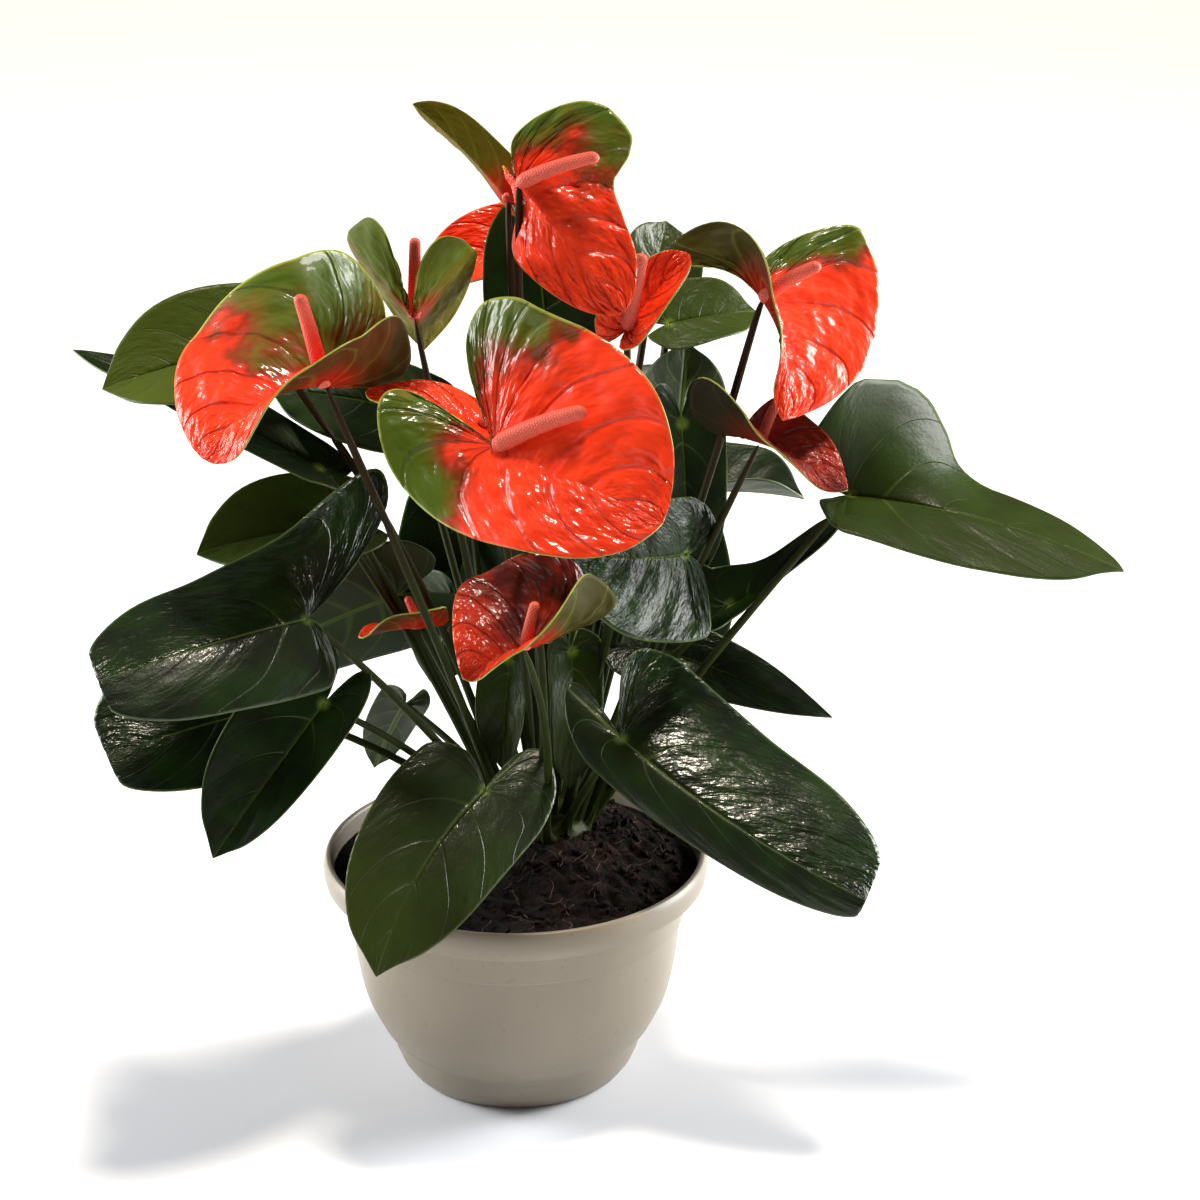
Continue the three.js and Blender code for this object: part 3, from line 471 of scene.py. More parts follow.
def blade_piece(blade, grid, quilt, thickness, materials):
    """A blade: two grids bent over its two halves, merged along the midrib and given a wall."""
    rows, columns = [round(count * math.sqrt(blade["fine"])) for count in grid]
    bm = bmesh.new()
    veins = bm.loops.layers.uv.new("veins")
    plan = bm.loops.layers.uv.new("plan")
    keys = ("tint", "relief", "painted_shade", "fresh")
    tint, relief, painted_shade, fresh = [bm.verts.layers.float.new(key) for key in keys]
    for half in (0, 1):
        made = bmesh.ops.create_grid(bm, x_segments=rows, y_segments=columns, size=0.5)["verts"]
        around = np.array([vert.co.x for vert in made]) + 0.5
        across = np.array([vert.co.y for vert in made]) + 0.5
        if half == 1:
            across = 1 - across
        points, phase, flat, distance = blade_half(blade, half, around, across, quilt)
        shade = blade["tint"](blade, half, across, distance)
        # painted shade on a spathe, faded out round its outline from the joint to the tip
        painted_shade_fade = 1 - smoothstep(around, *blade["painted_shade_fade"])
        places = {}
        for index, vert in enumerate(made):
            vert.co = points[index] * MM
            vert[tint], vert[relief] = shade[index], blade["relief"][half]
            vert[painted_shade], vert[fresh] = blade["painted_shade"][half] * painted_shade_fade[index], blade["fresh"]
            sideways = 0.5 + (0.5 - half) * across[index]
            on_plan = (FLAT_JOINT[0] + flat[index][0] / FLAT, FLAT_JOINT[1] + flat[index][1] / FLAT)
            places[vert] = ((phase[index], sideways), on_plan)
        for face in {face for vert in made for face in vert.link_faces}:
            for loop in face.loops:
                loop[veins].uv, loop[plan].uv = places[loop.vert]
    bmesh.ops.remove_doubles(bm, verts=bm.verts, dist=2e-5)
    for face in bm.faces:
        face.smooth = True
    piece = piece_from(bm, blade["node"], materials)
    wall = piece.modifiers.new("thickness", "SOLIDIFY")
    wall.thickness = thickness
    wall.offset = 0
    wall.material_offset = 1
    wall.material_offset_rim = 2
    return piece


def piece_from(bm, name, materials):
    """The bmesh as a shown object at the origin, with its materials in their slots."""
    mesh = bpy.data.meshes.new(name)
    bm.to_mesh(mesh)
    bm.free()
    piece = bpy.data.objects.new(name, mesh)
    bpy.context.scene.collection.objects.link(piece)
    for material in materials:
        mesh.materials.append(material)
    return piece


def finish_piece(piece, node_name):
    """The piece rides on the plant and stands for its CAD node."""
    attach(piece, "root")
    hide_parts(node_name)


def node(tree, kind, inputs=None, **settings):
    """A shader node with its settings, and its inputs set to values or linked to sockets."""
    made = tree.nodes.new("ShaderNode" + kind)
    for key, value in settings.items():
        setattr(made, key, value)
    for key, value in (inputs or {}).items():
        if isinstance(value, bpy.types.NodeSocket):
            tree.links.new(value, made.inputs[key])
        else:
            made.inputs[key].default_value = value
    return made


def material_of(name, surface):
    """A material with a bare tree, its shader with the given numbers, and its output."""
    material = bpy.data.materials.new(name)
    material.use_nodes = True
    tree = material.node_tree
    tree.nodes.clear()
    shader = node(tree, "BsdfPrincipled", surface)
    node(tree, "OutputMaterial", {"Surface": shader.outputs[0]})
    return material, tree, shader


def rgba(value):
    """A colour with full opacity."""
    return (*value, 1)


def calc(tree, operation, first, second=0.5):
    """The result of one Math node."""
    return node(tree, "Math", {0: first, 1: second}, operation=operation).outputs[0]


def blend(tree, share, first, second):
    """The result of mixing two colours by a share."""
    return node(tree, "Mix", {0: share, 6: first, 7: second}, data_type="RGBA").outputs[2]


def between(tree, value, low, high, start=0.0, end=1.0):
    """A value taken smoothly from one range to another."""
    inputs = {0: value, 1: low, 2: high, 3: start, 4: end}
    return node(tree, "MapRange", inputs, interpolation_type="SMOOTHSTEP").outputs[0]


def cloud(tree, place, millimetres, detail=2.0, unit=1000.0):
    """Noise with lumps of that size on coordinates that have so many mm to the unit."""
    inputs = {"Vector": place, "Scale": unit / millimetres, "Detail": detail}
    return node(tree, "TexNoise", inputs).outputs[0]


def blade_maps(tree):
    """Sockets of a blade's maps.

    phase runs round a half, across from the midrib outwards, plan is the flattened blade, and
    off and away are mm from the midrib and from the joint.
    """
    veins = node(tree, "SeparateXYZ", {0: node(tree, "UVMap", uv_map="veins").outputs[0]})
    plan = node(tree, "UVMap", uv_map="plan").outputs[0]
    across = calc(tree, "ABSOLUTE", calc(tree, "MULTIPLY_ADD", veins.outputs[1], 2))
    across.node.inputs[0].links[0].from_node.inputs[2].default_value = -1
    apart = node(tree, "SeparateXYZ", {0: plan})
    off = calc(tree, "ABSOLUTE", calc(tree, "SUBTRACT", apart.outputs[1], FLAT_JOINT[1]))
    joint = (*FLAT_JOINT, 0)
    away = node(tree, "VectorMath", {0: plan, 1: joint}, operation="DISTANCE").outputs[1]
    return {
        "phase": veins.outputs[0], "across": across, "plan": plan,
        "side": calc(tree, "GREATER_THAN", veins.outputs[1]),
        "off": calc(tree, "MULTIPLY", off, FLAT), "away": calc(tree, "MULTIPLY", away, FLAT),
    }


def vein_lines(tree, maps, count, width):
    """1 on a side vein and 0 off it. Width is in vein spacings at the margin."""
    turn = calc(tree, "FRACT", calc(tree, "MULTIPLY", maps["phase"], count))
    near = calc(tree, "SUBTRACT", 0.5, calc(tree, "ABSOLUTE", calc(tree, "SUBTRACT", turn, 0.5)))
    spread = node(tree, "Math", {0: maps["across"], 1: 0.8, 2: 0.2}, operation="MULTIPLY_ADD").outputs[0]
    return between(tree, calc(tree, "MULTIPLY", near, spread), 0.0, width, 1.0, 0.0)


def streaks(tree, maps, count, length, detail=2.0):
    """Noise drawn out along the side veins: so many to the margin, length in half widths."""
    place = node(tree, "CombineXYZ", {
        0: calc(tree, "MULTIPLY", maps["phase"], count),
        1: calc(tree, "MULTIPLY", maps["across"], 1 / length),
        2: calc(tree, "MULTIPLY", maps["side"], 9),
    }).outputs[0]
    return node(tree, "TexNoise", {"Vector": place, "Scale": 1.0, "Detail": detail}).outputs[0]


def leaf_upper(colours, name, surface):
    """Upper side of a flamingo-flower leaf: thick green blade grown under a waxy cuticle.

    The wax gives broken silver reflections; the green is deep, with a yellow-green joint and
    midrib, faint paler veins about 18 mm apart at the margin and a thin pale edge.
    """
    material, tree, shader = material_of(name, surface)
    maps = blade_maps(tree)
    tint = node(tree, "Attribute", attribute_name="tint").outputs["Fac"]
    mottle = between(tree, cloud(tree, maps["plan"], 22, 3, FLAT), 0.3, 0.7)
    green = blend(tree, mottle, rgba(colours.leaf_deep), rgba(colours.leaf_green))
    # lighter towards the joint or tip: partly young green, partly painted glow of light through the blade
    green = blend(tree, tint, green, rgba(colours.leaf_young_and_glow))
    side = vein_lines(tree, maps, BLADE["veins"], 0.016)
    fading = between(tree, maps["away"], 4, 40, 0.22, 0.03)
    green = blend(tree, calc(tree, "MULTIPLY", side, fading), green, rgba(colours.leaf_vein))
    rib = between(tree, maps["off"], 0.2, 0.8, 1.0, 0.0)
    rib = calc(tree, "MULTIPLY", rib, between(tree, maps["away"], 15, 80, 0.6, 0.15))
    green = blend(tree, rib, green, rgba(colours.leaf_vein))
    glow = between(tree, maps["away"], 0.5, 4.5, 0.9, 0.0)
    green = blend(tree, glow, green, rgba(colours.leaf_vein))
    edge = between(tree, maps["across"], 0.972, 0.99, 0.0, 0.8)
    green = blend(tree, edge, green, rgba(colours.leaf_margin))
    tree.links.new(green, shader.inputs["Base Color"])
    relief = node(tree, "Attribute", attribute_name="relief").outputs["Fac"]
    tree.links.new(between(tree, relief, 0.1, 1.0, 0.42, 0.3), shader.inputs["Roughness"])
    ripple = calc(tree, "MULTIPLY", streaks(tree, maps, 32, 0.24, 3.0), relief)
    grain = cloud(tree, maps["plan"], 1.6, 1, FLAT)
    height = calc(tree, "ADD", ripple, calc(tree, "MULTIPLY", grain, 0.05))
    height = calc(tree, "SUBTRACT", height, calc(tree, "MULTIPLY", side, 0.12))
    bump = node(tree, "Bump", {"Height": height, "Strength": 1.0, "Distance": 0.002})
    tree.links.new(bump.outputs[0], shader.inputs["Normal"])
    tree.links.new(bump.outputs[0], shader.inputs["Coat Normal"])
    return material


def leaf_under(colours):
    """Underside of a leaf: the same blade without the wax shine, grey-olive with raised veins."""
    surface = {"IOR": 1.45, "Roughness": 0.55, "Specular IOR Level": 0.3}
    material, tree, shader = material_of("living_leaf_matt_underside", surface)
    maps = blade_maps(tree)
    mottle = between(tree, cloud(tree, maps["plan"], 30, 3, FLAT), 0.3, 0.7)
    under = colours.leaf_under
    green = blend(tree, mottle, rgba([0.62 * part for part in under]), rgba(under))
    side = vein_lines(tree, maps, BLADE["veins"], 0.05)
    rib = between(tree, maps["off"], 0.7, 1.4, 1.0, 0.0)
    lines = calc(tree, "MAXIMUM", calc(tree, "MULTIPLY", side, 0.2), calc(tree, "MULTIPLY", rib, 0.45))
    green = blend(tree, lines, green, rgba(colours.leaf_vein))
    tree.links.new(green, shader.inputs["Base Color"])
    height = calc(tree, "ADD", calc(tree, "MULTIPLY", lines, 2), cloud(tree, maps["plan"], 2.5, 2, FLAT))
    bump = node(tree, "Bump", {"Height": height, "Strength": 0.4, "Distance": 0.0004})
    tree.links.new(bump.outputs[0], shader.inputs["Normal"])
    return material


def margin(name, value):
    """Cut edge of a blade: paler, because light comes through the thin tissue there."""
    material, tree, shader = material_of(name, {"IOR": 1.45, "Roughness": 0.4})
    place = node(tree, "TexCoord").outputs["Object"]
    mottle = between(tree, cloud(tree, place, 6), 0.3, 0.7)
    pale = blend(tree, mottle, rgba([0.75 * part for part in value]), rgba(value))
    tree.links.new(pale, shader.inputs["Base Color"])
    return material


def spathe_upper(colours):
    """Upper side of a spathe: a lacquer-smooth waxy bract, blistered between sunken veins.

    The cuticle mirrors the lamps as crisp white streaks along the grooves. The blade is
    orange red, its back lobes are green, and a brownish belt lies between the two. Painted
    shade turns it dark red where a spathe lies in shade.
    """
    surface = {
        "IOR": 1.45, "Roughness": 0.5, "Specular IOR Level": 0.2, "Coat Weight": 0.42,
        "Coat Roughness": 0.1}
    material, tree, shader = material_of("living_spathe_lacquered_upper", surface)
    maps = blade_maps(tree)
    tint = node(tree, "Attribute", attribute_name="tint").outputs["Fac"]
    mottle = cloud(tree, maps["plan"], 16, 4, FLAT)
    deep, full = rgba(colours.spathe_deep), rgba(colours.spathe_red)
    red = blend(tree, between(tree, mottle, 0.35, 0.65), deep, full)
    red = blend(tree, 0.72, red, full)
    side = vein_lines(tree, maps, BLADE["veins"], 0.06)
    red = blend(tree, calc(tree, "MULTIPLY", side, 0.35), red, deep)
    uneven = node(tree, "Math", {0: mottle, 1: 1.5, 2: -0.75}, operation="MULTIPLY_ADD").outputs[0]
    uneven = calc(tree, "MULTIPLY", uneven, between(tree, tint, 0.0, 0.25))
    turn = calc(tree, "ADD", tint, uneven)
    shade = blend(tree, between(tree, turn, 0.05, 0.4), red, rgba(colours.spathe_turn))
    shade = blend(tree, between(tree, turn, 0.3, 0.65), shade, rgba(colours.spathe_olive))
    shade = blend(tree, between(tree, turn, 0.55, 0.95), shade, rgba(colours.spathe_lime))
    edge = between(tree, maps["across"], 0.975, 0.992, 0.0, 0.8)
    edge = calc(tree, "MULTIPLY", edge, between(tree, tint, 0.0, 0.3, 0.25, 1.0))
    shade = blend(tree, edge, shade, rgba(colours.spathe_margin))
    # painted shade: dark red laid on where the spathe lies in shade, patchy with the mottle
    painted_shade = node(tree, "Attribute", attribute_name="painted_shade").outputs["Fac"]
    painted_shade = calc(tree, "MULTIPLY", painted_shade, between(tree, mottle, 0.3, 0.6, 0.75, 1.0))
    shade = blend(tree, painted_shade, shade, rgba(colours.spathe_painted_shade))
    tree.links.new(shade, shader.inputs["Base Color"])
    folds = streaks(tree, maps, 22, 0.26, 2.2)
    height = calc(tree, "SUBTRACT", folds, calc(tree, "MULTIPLY", side, 0.3))
    bump = node(tree, "Bump", {"Height": height, "Strength": 0.9, "Distance": 0.003})
    tree.links.new(bump.outputs[0], shader.inputs["Normal"])
    tree.links.new(bump.outputs[0], shader.inputs["Coat Normal"])
    return material


def spathe_under(colours):
    """Underside of a spathe: satin olive over red, reddest at the joint, with pale veins and painted shade
    where it lies in shade.
    """
    surface = {"IOR": 1.45, "Roughness": 0.6, "Specular IOR Level": 0.1}
    material, tree, shader = material_of("living_spathe_satin_underside", surface)
    maps = blade_maps(tree)
    tint = node(tree, "Attribute", attribute_name="tint").outputs["Fac"]
    mottle = cloud(tree, maps["plan"], 14, 3, FLAT)
    shaded = rgba([0.35 * part for part in colours.spathe_deep])
    red = blend(tree, mottle, shaded, rgba(colours.spathe_deep))
    near = between(tree, maps["away"], 4, 22, 0.0, 0.97)
    share = calc(tree, "MULTIPLY", near, between(tree, tint, 0.0, 0.5, 0.88, 1.0))
    fresh = node(tree, "Attribute", attribute_name="fresh").outputs["Fac"]
    olive = blend(tree, fresh, rgba(colours.spathe_under), rgba(colours.spathe_lime))
    shade = blend(tree, share, red, olive)
    side = vein_lines(tree, maps, BLADE["veins"], 0.06)
    shade = blend(tree, calc(tree, "MULTIPLY", side, 0.1), shade, rgba(colours.spathe_margin))
    # painted shade: the underside turns nearly black where the spathe lies in shade
    painted_shade = node(tree, "Attribute", attribute_name="painted_shade").outputs["Fac"]
    shade = blend(tree, calc(tree, "MULTIPLY", painted_shade, 0.8), shade, rgba(colours.under_painted_shade))
    tree.links.new(shade, shader.inputs["Base Color"])
    height = calc(tree, "ADD", side, cloud(tree, maps["plan"], 3, 2, FLAT))
    bump = node(tree, "Bump", {"Height": height, "Strength": 0.35, "Distance": 0.0005})
    tree.links.new(bump.outputs[0], shader.inputs["Normal"])
    return material


def spadix_flesh(colours):
    """Flower spike: fleshy florets about 1.5 mm apart, dull on top, with painted shade that darkens the
    gaps between them.
    """
    surface = {"IOR": 1.43, "Roughness": 0.5, "Subsurface Weight": 0.0}
    material, tree, shader = material_of("living_spike_of_florets", surface)
    tint = node(tree, "Attribute", attribute_name="tint").outputs["Fac"]
    place = node(tree, "TexCoord").outputs["Object"]
    mottle = between(tree, cloud(tree, place, 7, 2), 0.35, 0.65, 0.0, 0.4)
    flesh = blend(tree, mottle, rgba(colours.spadix), rgba([0.75 * part for part in colours.spadix]))
    # painted shade: the colour darkens in the gaps between the raised florets
    flesh = blend(tree, between(tree, tint, 0.1, 0.6), rgba(colours.spadix_gap_shade), flesh)
    tree.links.new(flesh, shader.inputs["Base Color"])
    bump = node(tree, "Bump", {"Height": cloud(tree, place, 0.7, 1), "Strength": 0.3, "Distance": 0.0002})
    tree.links.new(bump.outputs[0], shader.inputs["Normal"])
    return material


def stalk_skin(colours):
    """Leaf and flower stalks: round, smooth and waxy, green below and bronze above."""
    surface = {"IOR": 1.45, "Roughness": 0.5, "Specular IOR Level": 0.1}
    material, tree, shader = material_of("living_stalk_waxy_skin", surface)
    place = node(tree, "TexCoord").outputs["Object"]
    height = node(tree, "SeparateXYZ", {0: place}).outputs[2]
    long = node(tree, "Mapping", {"Vector": place, "Scale": (1, 1, 0.15)}).outputs[0]
    streak = cloud(tree, long, 5, 3)
    level = calc(tree, "ADD", height, calc(tree, "MULTIPLY", calc(tree, "SUBTRACT", streak, 0.5), 0.15))
    green, brown = rgba(colours.stalk_green), rgba(colours.stalk_brown)
    skin = blend(tree, between(tree, level, 0.21, 0.34), green, brown)
    skin = blend(tree, between(tree, streak, 0.4, 0.8, 0.0, 0.5), skin, rgba(colours.stalk_dark))
    tree.links.new(skin, shader.inputs["Base Color"])
    bump = node(tree, "Bump", {"Height": cloud(tree, long, 1.2, 2), "Strength": 0.25, "Distance": 0.0003})
    tree.links.new(bump.outputs[0], shader.inputs["Normal"])
    return material


def pot_plastic(colours):
    """Nursery pot: warm grey polypropylene, injection moulded with a fine matt texture."""
    surface = {"IOR": 1.49, "Roughness": 0.42}
    material, tree, shader = material_of("polypropylene_moulded_warm_grey", surface)
    place = node(tree, "TexCoord").outputs["Object"]
    flow = between(tree, cloud(tree, place, 45, 3), 0.3, 0.7)
    grey = blend(tree, flow, rgba([0.93 * part for part in colours.pot]), rgba(colours.pot))
    dust = between(tree, cloud(tree, place, 3.5, 4), 0.62, 0.75, 0.0, 0.16)
    grey = blend(tree, dust, grey, rgba(colours.soil_red))
    tree.links.new(grey, shader.inputs["Base Color"])
    bump = node(tree, "Bump", {"Height": cloud(tree, place, 0.8, 2), "Strength": 0.12, "Distance": 0.0002})
    tree.links.new(bump.outputs[0], shader.inputs["Normal"])
    return material


def potting_mix(colours):
    """Potting mix: crumbly peat with coir, dry and red-brown on the lumps, black between, and painted
    shade that darkens the left side.
    """
    surface = {"IOR": 1.4, "Roughness": 0.92, "Specular IOR Level": 0.25}
    material, tree, shader = material_of("peat_and_coir_crumbled", surface)
    place = node(tree, "TexCoord").outputs["Object"]
    lumps = cloud(tree, place, 5, 5)
    side = node(tree, "SeparateXYZ", {0: place}).outputs[0]
    # painted shade: the share of red-brown lumps drops from right to left, so the mix is darker towards
    # the left
    dry = between(tree, side, -0.03, 0.05)
    share = calc(tree, "MULTIPLY", between(tree, lumps, 0.4, 0.66), between(tree, dry, 0, 1, 0.35, 1.0))
    earth = blend(tree, share, rgba(colours.soil_dark), rgba(colours.soil_red))
    long = node(tree, "Mapping", {
        "Vector": place, "Rotation": (0, 0, 0.6), "Scale": (1, 0.2, 1)}).outputs[0]
    threads = between(tree, cloud(tree, long, 2.2, 3), 0.62, 0.7, 0.0, 0.7)
    earth = blend(tree, calc(tree, "MULTIPLY", threads, share), earth, rgba(colours.fibre))
    tree.links.new(earth, shader.inputs["Base Color"])
    bump = node(tree, "Bump", {"Height": cloud(tree, place, 2, 4), "Strength": 0.9, "Distance": 0.002})
    tree.links.new(bump.outputs[0], shader.inputs["Normal"])
    return material


def coir(colours):
    """Coconut fibre: dry, stiff, matt red-brown threads that lie loose on the mix."""
    material, tree, shader = material_of("coir_fibre_dry", {"IOR": 1.45, "Roughness": 0.8})
    place = node(tree, "TexCoord").outputs["Object"]
    mottle = between(tree, cloud(tree, place, 9, 2), 0.35, 0.65)
    brown = blend(tree, mottle, rgba(colours.soil_red), rgba(colours.fibre))
    tree.links.new(brown, shader.inputs["Base Color"])
    return material


def whole(rows, outline, prefix=""):
    """Table rows with every default filled in, their node's name and their midrib."""
    made = []
    for seed, row in enumerate(rows):
        blade = {**BLADE, "outline": [outline, outline], **row, "seed": 10 * seed + len(prefix)}
        blade["node"] = prefix + row["name"]
        blade["spine"] = midrib(blade)
        made.append(blade)
    return made


def leaf_tint(blade, half, across, distance):
    """How light a leaf is, from its joint to its tip: partly young green, partly painted glow of light
    through the blade.
    """
    start, end = blade["bright"]
    return start + (end - start) * smoothstep(distance, -0.1, 0.9)


def spathe_tint(blade, half, across, distance):
    """How green a spathe is, towards its lobes and away from its midrib."""
    start, end = blade["ripe"][2 * half:2 * half + 2]
    low, high = blade["flush"][2 * half:2 * half + 2]
    lobe = blade["lobe"][half] / blade["spine"][1]
    back = smoothstep(-distance / lobe, start, end)
    return back * smoothstep(across, low, high)


def turned(bm, profile, turns):
    """Spins a profile of [radius, height] pairs in mm round the Z axis into a closed shell."""
    corners = [bm.verts.new((radius * MM, 0, height * MM)) for radius, height in profile]
    edges = [bm.edges.new(pair) for pair in zip(corners, corners[1:])]
    bmesh.ops.spin(
        bm, geom=corners + edges, cent=(0, 0, 0), axis=(0, 0, 1), angle=2 * math.pi,
        steps=turns, use_merge=True)
    bmesh.ops.remove_doubles(bm, verts=bm.verts, dist=1e-6)
    bmesh.ops.recalc_face_normals(bm, faces=bm.faces)
    for face in bm.faces:
        face.smooth = True


def soil_height(x, y):
    """Height in mm that the potting mix is raised above its edge."""
    away = np.hypot(x - SOIL_MOUND["x"], y - SOIL_MOUND["y"]) / SOIL_MOUND["radius"]
    mound = SOIL_MOUND["height"] * (1 - smoothstep(away))
    broad = 1.4 * np.sin(x / 11 + 1) * np.cos(y / 13)
    return mound + broad + 0.8 * np.sin(x / 5 + y / 7) * np.cos(y / 4 - x / 9)


class FLOWER_OT_pot(bpy.types.Operator):
    """Makes the pot: its wall spun from one profile, its edges eased"""
    bl_idname = "flamingo_flower.pot"
    bl_label = "Pot"

    def execute(self, context):
        belly = spline(POT_BELLY, np.linspace(0, 1, 26)).tolist()
        inside = spline(POT_INSIDE, np.linspace(0, 1, 14)).tolist()
        profile = POT_FOOT[:-1] + belly + POT_COLLAR[:-1] + inside + POT_FLOOR
        bm = bmesh.new()
        turned(bm, profile, POT_TURNS)
        pot = piece_from(bm, "pot_wall", [pot_plastic(context.scene.flower_colours)])
        eased = pot.modifiers.new("eased edges", "BEVEL")
        eased.width = 0.0005
        eased.segments = 2
        eased.limit_method = "ANGLE"
        eased.angle_limit = math.radians(32)
        finish_piece(pot, "pot")
        return {"FINISHED"}


class FLOWER_OT_soil(bpy.types.Operator):
    """Makes the potting mix: a spun body with a crumbled top, with crumbs and coir on it"""
    bl_idname = "flamingo_flower.soil"
    bl_label = "Potting mix"

    def execute(self, context):
        colours = context.scene.flower_colours
        radii = np.linspace(84.6, 0, 62)
        profile = SOIL_SIDE + [[85.1, SOIL_TOP - 0.6]] + [[radius, SOIL_TOP] for radius in radii]
        bm = bmesh.new()
        turned(bm, profile, 180)
        for vert in bm.verts:
            x, y, z = vert.co / MM
            inside = 1 - smoothstep(math.hypot(x, y), 74, 85)
            if z > SOIL_TOP - 0.1:
                spot = np.array([[x, y]])
                crumbs = 1.1 * waves(1, spot, 9) + 0.8 * np.abs(waves(2, spot, 4.5)) - 0.4
                vert.co.z += (soil_height(x, y) * inside + crumbs[0] * (0.3 + 0.7 * inside)) * MM
        bed = piece_from(bm, "soil_bed", [potting_mix(colours)])
        finish_piece(bed, "soil")
        self.scatter(colours)
        return {"FINISHED"}

    def scatter(self, colours):
        """Loose crumbs of a few faces each, and short bent threads."""
        random = np.random.default_rng(4)
        bm = bmesh.new()
        for _ in range(CRUMBS):
            x, y = self.spot(random, 80)
            size = random.uniform(0.9, 2.6)
            place = Matrix.Translation(Vector((x, y, self.top(x, y) + 0.3 * size)) * MM)
            turn = Matrix.Rotation(random.uniform(0, 6.28), 4, Vector(random.normal(size=3)))
            shape = Matrix.Diagonal((*(size * MM * random.uniform(0.6, 1.1, 3)), 1))
            made = bmesh.ops.create_icosphere(
                bm, subdivisions=1, radius=1, matrix=place @ turn @ shape)["verts"]
            for vert in made:
                vert.co += Vector(random.normal(size=3)) * 0.15 * size * MM
        crumbs = piece_from(bm, "soil_crumbs", [potting_mix(colours)])
        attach(crumbs, "root")
        bm = bmesh.new()
        for _ in range(THREADS):
            self.thread(bm, random)
        bmesh.ops.recalc_face_normals(bm, faces=bm.faces)
        threads = piece_from(bm, "soil_fibres", [coir(colours)])
        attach(threads, "root")

    def spot(self, random, limit):
        """A place on the mix, more of them towards the right."""
        while True:
            x, y = random.uniform(-limit, limit, 2)
            if math.hypot(x, y) < limit and random.uniform(-1.4, 1) < x / limit:
                return x, y

    def top(self, x, y):
        """Height of the mix in mm."""
        inside = 1 - smoothstep(math.hypot(x, y), 74, 85)
        return SOIL_TOP + float(soil_height(x, y) * inside)

    def thread(self, bm, random):
        """A three-sided tube swept from a triangle along a bent way over the mix."""
        x, y = self.spot(random, 72)
        way = random.uniform(0, 2 * math.pi)
        radius = random.uniform(0.18, 0.4)
        ring = bmesh.ops.create_circle(bm, cap_ends=True, segments=3, radius=radius * MM)["verts"]
        face = ring[0].link_faces[0]
        start = Matrix.Translation(Vector((x, y, self.top(x, y) + 0.8)) * MM)
        bmesh.ops.transform(
            bm, verts=ring, matrix=start @ Matrix.Rotation(way, 4, "Z") @ Matrix.Rotation(1.57, 4, "Y"))
        for _ in range(5):
            way += random.uniform(-0.7, 0.7)
            step = random.uniform(1.5, 3.2)
            across = (x + step * math.cos(way), y + step * math.sin(way))
            rise = self.top(*across) - self.top(x, y) + random.uniform(-0.5, 0.6)
            made = bmesh.ops.extrude_discrete_faces(bm, faces=[face])["faces"][0]
            shift = Vector((across[0] - x, across[1] - y, rise)) * MM
            bmesh.ops.translate(bm, verts=made.verts, vec=shift)
            face = made
            x, y = across


class FLOWER_OT_stems(bpy.types.Operator):
    """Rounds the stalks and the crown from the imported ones"""
    bl_idname = "flamingo_flower.stems"
    bl_label = "Stalks"

    def execute(self, context):
        bm = bmesh.new()
        bm.from_mesh(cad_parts["stems"].data)
        bmesh.ops.remove_doubles(bm, verts=bm.verts, dist=1e-5)
        bmesh.ops.dissolve_degenerate(bm, edges=bm.edges, dist=1e-5)
        bmesh.ops.recalc_face_normals(bm, faces=bm.faces)
        bmesh.ops.join_triangles(
            bm, faces=bm.faces, angle_face_threshold=0.6, angle_shape_threshold=1.2)
        bm.normal_update()
        for vert in bm.verts:
            vert.co += vert.normal * 0.45 * MM
        for face in bm.faces:
            face.smooth = True
        stems = piece_from(bm, "stalks", [stalk_skin(context.scene.flower_colours)])
        rounded = stems.modifiers.new("rounded", "SUBSURF")
        rounded.levels = 2
        rounded.render_levels = 2
        finish_piece(stems, "stems")
        return {"FINISHED"}


class FLOWER_OT_leaves(bpy.types.Operator):
    """Makes the leaves: thin waxy blades with sunken veins"""
    bl_idname = "flamingo_flower.leaves"
    bl_label = "Leaves"

    def execute(self, context):
        colours = context.scene.flower_colours
        thickness = context.scene.flower_sizes.leaf_thickness
        edge = margin("living_leaf_cut_margin", colours.leaf_margin)
        waxed = {"IOR": 1.45, "Specular IOR Level": 0.3, "Coat Weight": 0.25, "Coat Roughness": 0.1}
        young = {"IOR": 1.45, "Specular IOR Level": 0.15, "Coat Weight": 0.03, "Coat Roughness": 0.15}
        uppers = [
            leaf_upper(colours, "living_leaf_thin_wax_upper", young),
            leaf_upper(colours, "living_leaf_waxed_upper", waxed),
        ]
        under = leaf_under(colours)
        for blade in whole(LEAVES, "leaf"):
            blade["tint"] = leaf_tint
            materials = [uppers[blade["wax"]], under, edge]
            piece = blade_piece(blade, LEAF_GRID, leaf_quilt, thickness, materials)
            finish_piece(piece, blade["name"])
        return {"FINISHED"}


class FLOWER_OT_spathes(bpy.types.Operator):
    """Makes the spathes: lacquered red bracts with green lobes"""
    bl_idname = "flamingo_flower.spathes"
    bl_label = "Spathes"

    def execute(self, context):
        colours = context.scene.flower_colours
        thickness = context.scene.flower_sizes.spathe_thickness
        edge = margin("living_spathe_cut_margin", colours.spathe_margin)
        materials = [spathe_upper(colours), spathe_under(colours), edge]
        for blade in whole(SPATHES, "spathe", "spathe_"):
            blade["tint"] = spathe_tint
            piece = blade_piece(blade, SPATHE_GRID, spathe_quilt, thickness, materials)
            finish_piece(piece, blade["node"])
        return {"FINISHED"}


